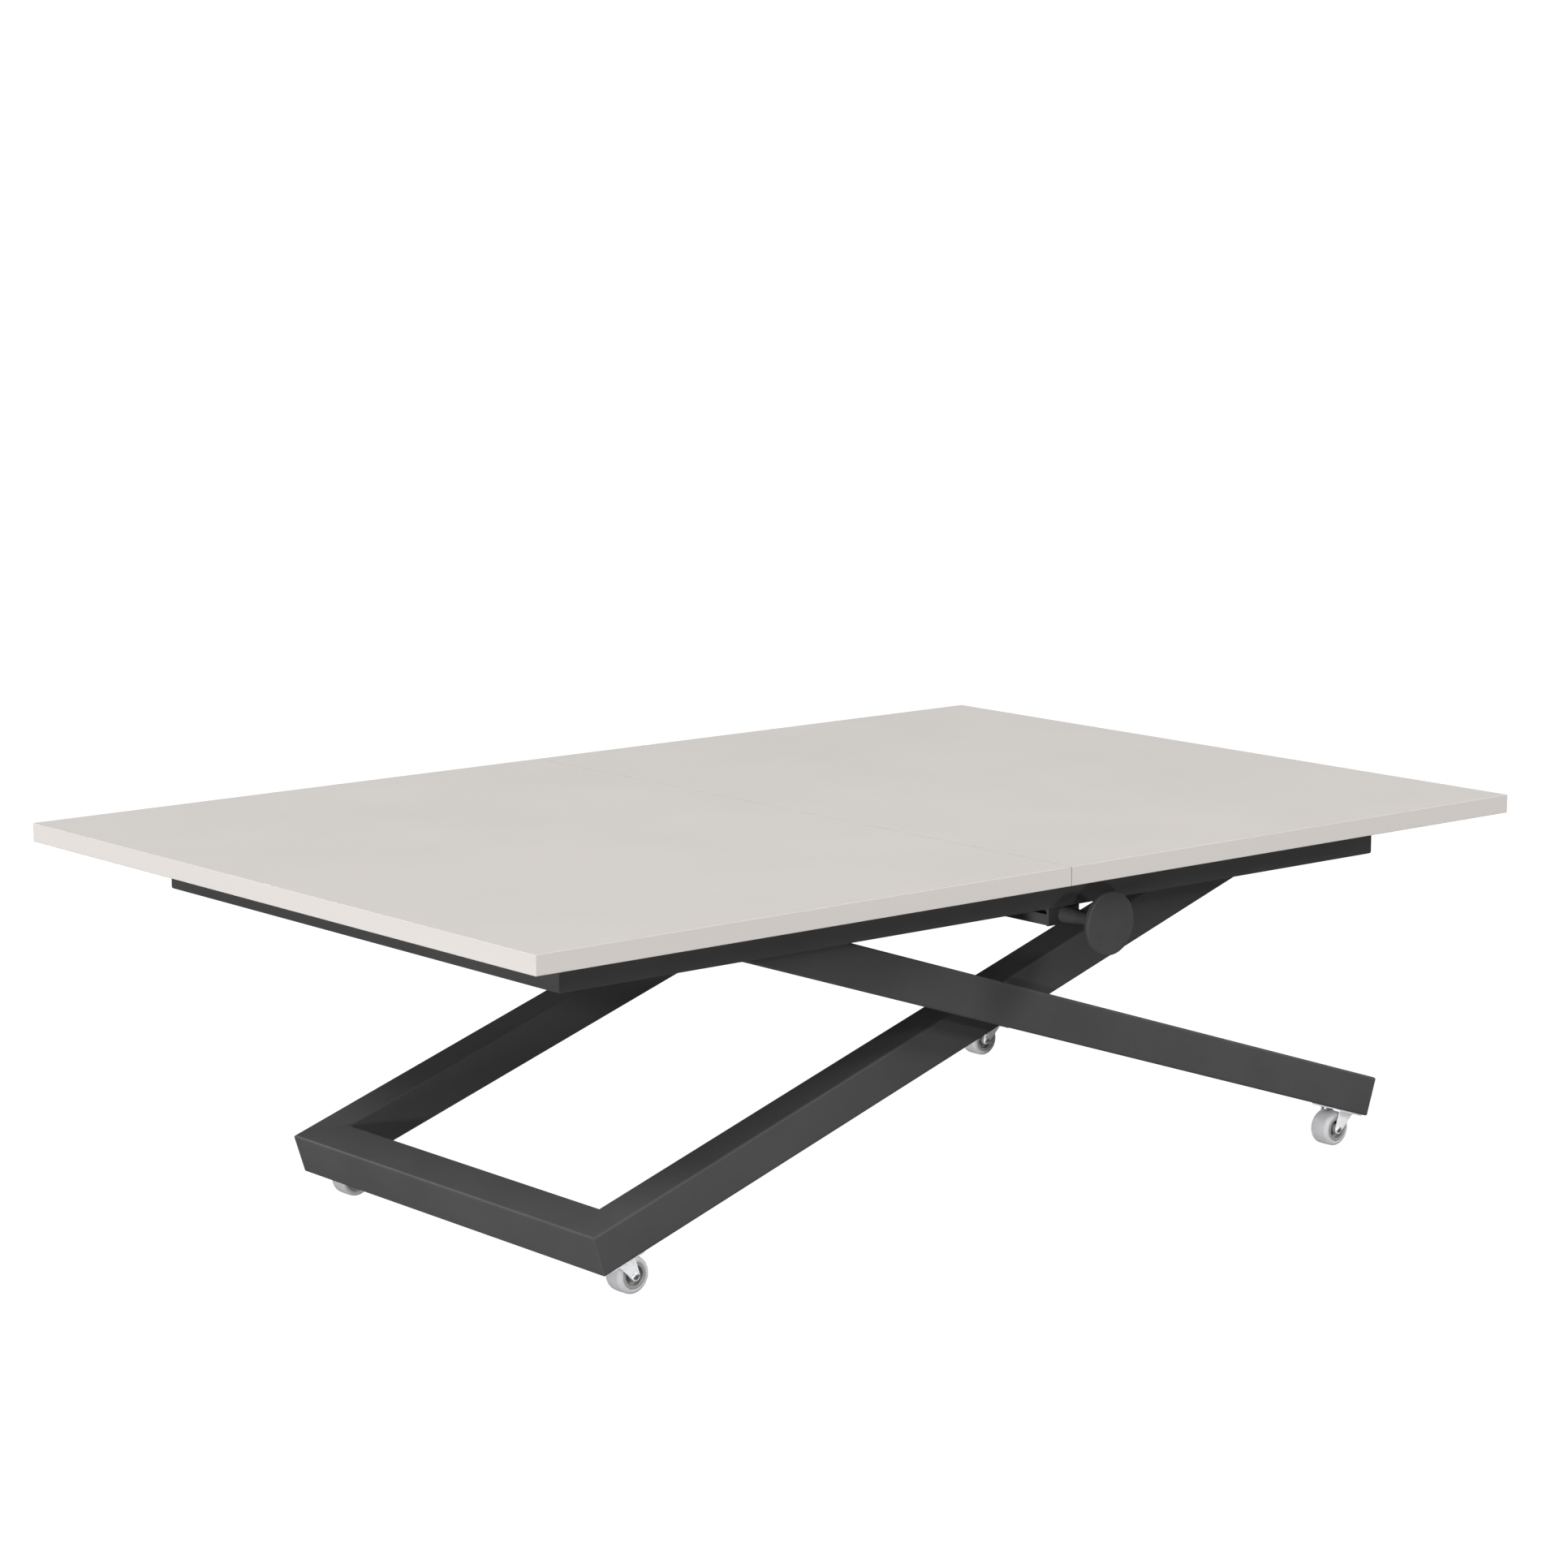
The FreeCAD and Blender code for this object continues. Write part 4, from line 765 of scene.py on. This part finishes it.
def addTracks(own, buffer):
    # channel section open to the middle of the table, closed at its right end by a rubber block
    half, wall, bend, lip = own["high"] / 2, own["wall"], own["bend"], own["lip"]
    web, mouth = railFace - wall, railFace - own["deep"]
    outline = [
        (railFace, -half), (railFace, half), (mouth, half), (mouth, half - wall),
        (web, half - wall), (web, wall - half), (mouth, wall - half), (mouth, -half),
    ]
    section = rounded(outline, [bend, bend, lip, lip, bend - wall, bend - wall, lip, lip])
    low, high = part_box("track_back")
    ways = [((0, side, 0), (0, 0, 1), (1, 0, 0)) for end, side in bothSides]
    for (end, side), way in zip(bothSides, ways):
        strip = moved(plate(section, low.x, high.x), way, (0, 0, hung[2]))
        addPiece(f"track{end.title()}", [strip], f"track_{end}")
    block = box2(own["deep"] - wall, own["high"] - 2 * wall, buffer["round"], steps=5)
    block = block + (railFace - (own["deep"] + wall) / 2, 0)
    block = plate(block, high.x - buffer["thick"], high.x, buffer["round"])
    addPiece("trackBuffers", [moved(block, way, (0, 0, hung[2])) for way in ways], "track_buffers")


def addHangers(own):
    shaft, half, drop = spot["release_turn"], own["wide"] / 2, own["high"]
    corners = np.array([(-half, -drop), (half, -drop), (half, 0), (-half, 0)])
    share = np.linspace(0, 1, own["sideSteps"], endpoint=False)[:, None]
    outline = np.concatenate([a + (b - a) * share for a, b in zip(corners, np.roll(corners, -1, 0))])
    low, high = own["row"] - own["sheet"] / 2, own["row"] + own["sheet"] / 2
    leaf = collar(outline, np.array((0, shaft[2] - railLow)), own["hole"], low, high)
    ways = [((1, 0, 0), (0, 0, 1), (0, side, 0)) for end, side in bothSides]
    addPiece("hangerPlates", [moved(leaf, way, (shaft[0], 0, railLow)) for way in ways], "hangers")


def addChannel(own):
    wide, wall, high, bend, lip = own["wide"] / 2, own["wall"], own["high"], own["bend"], own["lip"]
    inner = wide - wall
    outline = [
        (-wide, 0), (wide, 0), (wide, high), (inner, high),
        (inner, wall), (-inner, wall), (-inner, high), (-wide, high),
    ]
    section = rounded(outline, [bend, bend, lip, lip, bend - wall, bend - wall, lip, lip])
    low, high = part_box("release_channel")
    trough = moved(plate(section, low.y, high.y), upright, (spot["release_turn"][0], 0, low.z))
    addPiece("releaseChannel", [trough], "release_channel")


addTracks(underTop["track"], underTop["buffer"])
addHangers(underTop["hanger"])
addChannel(underTop["channel"])
print("tracks and channel ready")


# release shaft and its lever

release = {
    "shaft": 0.004, "shaftRow": (-0.3495, 0.016), "chamfer": 0.0006,
    "hub": 0.007, "hubRound": 0.0006, "boreRound": 0.0002,
    "leverHalf": 0.005, "leverRoot": 0.0045, "leverReach": 0.0235, "leverRise": 0.024, "leverThick": 0.005,
    "leverEase": 0.0004,
    "rounds": (0.0001, 0.003, 0.0012, 0.0012, 0.001, 0.0001),  # along the lever's outline
}


def addRelease(release):
    centre = spot["release_turn"] * (1, 0, 1)
    radius = release["shaft"]
    shaft = turned(rod(*release["shaftRow"], radius, release["chamfer"]), steps=40)
    addPiece("releaseShaft", [moved(shaft, origin=centre)], "release_shaft")
    half, root, reach, rise = [release[key] for key in ("leverHalf", "leverRoot", "leverReach", "leverRise")]
    top, thick = release["hub"], release["leverThick"]
    outline = [
        (root, top - thick), (reach, top - thick), (reach, rise),
        (reach - thick, rise), (reach - thick, top), (root, top),
    ]
    blade = plate(rounded(outline, release["rounds"], steps=8), -half, half, release["leverEase"])
    ring = [(-half, radius), (-half, top), (half, top), (half, radius)]
    skin, bore = release["hubRound"], release["boreRound"]
    hub = turned(rounded(ring, [bore, skin, skin, bore], steps=4), steps=48, closed=True)
    addPiece("releaseLever", [moved(blade, upright, centre), moved(hub, origin=centre)], "release_lever")


addRelease(release)


# gas spring between the channel and the outer legs' bar

spring = {
    "bar": {"radius": 0.010, "wall": 0.002, "arm": 0.270026, "weld": 0.003},
    "tube": {
        "radius": 0.011, "wall": 0.0015, "cap": 0.005, "front": 0.0685, "shoulder": 0.004, "ease": 0.0003,
    },
    "groove": {"deep": 0.0006, "half": 0.0025, "back": 0.006},  # rolled into the tube to hold the guide
    "guide": {"lip": 0.003, "long": 0.008, "rounds": (0.0003, 0.0005, sharp, 0.0002, 0.0012, 0.0004)},
    "rod": {"radius": 0.005, "piston": 0.012, "pistonShare": 0.43, "pistonEase": 0.0006},
    "head": {
        "radius": 0.009, "row": (-0.026, 0.012), "socket": 0.010,
        "rounds": (0.0003, 0.0015, 0.0010, 0.0003, sharp, sharp),
        "trunnion": 0.004, "trunnionReach": 0.014, "chamfer": 0.0004,
    },
    "valve": {"radius": 0.003, "row": (-0.004, 0.018), "dome": 0.0012},
    "eye": {
        "inner": 0.0152, "outer": 0.0192, "half": 0.008, "ease": 0.0008,
        "shank": 0.006, "long": 0.004, "root": 0.002,
    },
}
springBar = crossing * (1, 0, 1) + np.array((spring["bar"]["arm"], 0, 0)) @ np.array(legAxes["outer"])


def addSpringBar(own):
    reach, radius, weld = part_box("spring_bar")[1].y, own["radius"], own["weld"]
    toe = np.linspace(0, quarter, 6)  # hollow fillet of the weld: quarter circle from the bar to the leg
    bead = np.stack([reach - weld * (1 - np.sin(toe)), radius + weld * (1 - np.cos(toe))], -1)
    half = np.vstack([bead, [(reach, radius - own["wall"])]])
    outline = np.vstack([half, half[::-1] * (-1, 1)])
    addPiece("springBar", [moved(turned(outline, closed=True), origin=springBar)], "spring_bar")


def addSpring(spring):
    head = spot["spring_tilt"] * (1, 0, 1)
    length = np.linalg.norm(head - springBar)
    along = (head - springBar) / length
    axes = ((0, 1, 0), along, np.cross((0, 1, 0), along))  # a turned piece's own axis goes along the spring

    tube, groove, eye = spring["tube"], spring["groove"], spring["eye"]
    front, back, skin = -tube["front"], -(length - eye["outer"] - eye["long"]), tube["radius"]
    bore, cap, ease, shoulder = skin - tube["wall"], back + tube["cap"], tube["ease"], tube["shoulder"]
    lean = np.linspace(0, quarter, 8)
    bend = np.stack([back + shoulder * (1 - np.sin(lean)), skin - shoulder * (1 - np.cos(lean))], -1)[::-1]
    roll = np.linspace(0, math.pi, 9)
    place = front - groove["back"] + groove["half"] * np.linspace(-1, 1, 9)
    dent = np.stack([place, skin - groove["deep"] * np.sin(roll)], -1)
    rows = [(back, 0)] + bend.tolist() + dent.tolist() + [(front - ease, skin), (front, skin - ease)]
    rows += [(front, bore), (cap, bore), (cap, 0)]
    addPiece("gasCylinder", [moved(turned(rows), axes, head)], "gas_cylinder")

    own, rodRadius = spring["guide"], spring["rod"]["radius"]
    lip, deep, slack = front + own["lip"], front - own["long"], rodRadius + play
    outline = [(deep, slack), (deep, bore), (front, bore), (front, skin), (lip, skin), (lip, slack)]
    guide = turned(rounded(outline, own["rounds"]), closed=True)
    addPiece("gasGuide", [moved(guide, axes, head)], "gas_guide")

    own, socket = spring["rod"], spring["head"]["socket"]
    high = deep - own["pistonShare"] * (deep - cap - own["piston"])
    low, crown, ease = high - own["piston"], bore - play, own["pistonEase"]
    rows = rod(low, high, crown, ease)[:-1] + [(high, rodRadius), (-socket, rodRadius), (-socket, 0)]
    addPiece("gasRod", [moved(turned(rows), axes, head)], "gas_rod")

    own, bore = spring["head"], spring["valve"]["radius"] + play
    low, high = own["row"]
    outline = [
        (low, rodRadius), (low, own["radius"]), (high, own["radius"]),
        (high, bore), (-socket, bore), (-socket, rodRadius),
    ]
    block = turned(rounded(outline, own["rounds"]), closed=True)
    reach = own["trunnionReach"]
    pin = turned(rod(-reach, reach, own["trunnion"], own["chamfer"]), steps=40)
    addPiece("releaseHead", [moved(block, axes, head), moved(pin, origin=head)], "release_head")

    own, lean = spring["valve"], np.linspace(0, quarter, 7)
    low, high = own["row"]
    dome, radius = own["dome"], own["radius"]
    tip = np.stack([high - dome * (1 - np.sin(lean)), radius - dome + dome * np.cos(lean)], -1)
    rows = [(low, 0), (low, radius)] + tip.tolist() + [(high, 0)]
    addPiece("valvePin", [moved(turned(rows, steps=32), axes, head)], "valve_pin")

    half, inner, outer, end = eye["half"], eye["inner"], eye["outer"], back - eye["long"] - eye["root"]
    outline = [(-half, inner), (-half, outer), (half, outer), (half, inner)]
    ring = turned(rounded(outline, eye["ease"], steps=5), steps=72, closed=True)
    shank = turned([(back, 0), (back, eye["shank"]), (end, eye["shank"]), (end, 0)], steps=40)
    addPiece("gasEye", [moved(ring, origin=springBar), moved(shank, axes, head)], "gas_eye")


addSpringBar(spring["bar"])
addSpring(spring)
print("release and gas spring ready")


# split top: fluted dowels in the seam and button glides under the halves

topFittings = {
    "dowel": {
        "radius": 0.004, "half": 0.020, "spacing": 0.250, "chamfer": 0.0012,
        "flutes": 14, "fluteDepth": 0.00022, "sides": 112,
    },
    "glide": {
        "flange": 0.009, "neck": 0.0036, "foot": 0.0066, "hole": 0.002, "footThick": 0.003, "wall": 0.0017,
        "play": 0.0002, "near": 0.06072, "far": 0.26312, "row": 0.296,
        "rounds": (0.0002, 0.0003, 0.0005, 0.0004, 0.0002, 0.0003, 0.0008, 0.0002),  # along the outline
    },
}
boardLow, boardHigh = [corner.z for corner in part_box("top_left")]


def addDowels(own):
    wave = 0.5 - 0.5 * np.cos(own["flutes"] * around(own["sides"]))  # radius waves round the dowel
    rows = rod(-own["half"], own["half"], own["radius"] - own["fluteDepth"] * wave, own["chamfer"])
    lying = ((0, 1, 0), (1, 0, 0), (0, 0, 1))
    peg = turned(rows, own["sides"])
    places = [(0, step * own["spacing"], (boardLow + boardHigh) / 2) for step in (-1, 0, 1)]
    addPiece("seamDowels", [moved(peg, lying, place) for place in places], "seam_dowels")


def addGlides(own):
    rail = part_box("rail_front")[1].z
    top, under = boardLow - rail, -own["wall"]
    low, hole = under - own["footThick"], own["hole"]
    flange, neck, foot = own["flange"], own["neck"], own["foot"]
    outline = [
        (top, hole), (top, flange), (own["play"], flange), (own["play"], neck), (under, neck),
        (under, foot), (low, foot), (low, hole),
    ]
    button = turned(rounded(outline, own["rounds"], steps=4), steps=48, closed=True)
    for half, side in (("left", -1), ("right", 1)):
        places = [(side * own[along], row * own["row"], rail) for along in ("near", "far") for row in (-1, 1)]
        buttons = [moved(button, upright, place) for place in places]
        addPiece(f"glides{half.title()}", buttons, f"glides_{half}")


addDowels(topFittings["dowel"])
addGlides(topFittings["glide"])
print("top fittings ready")
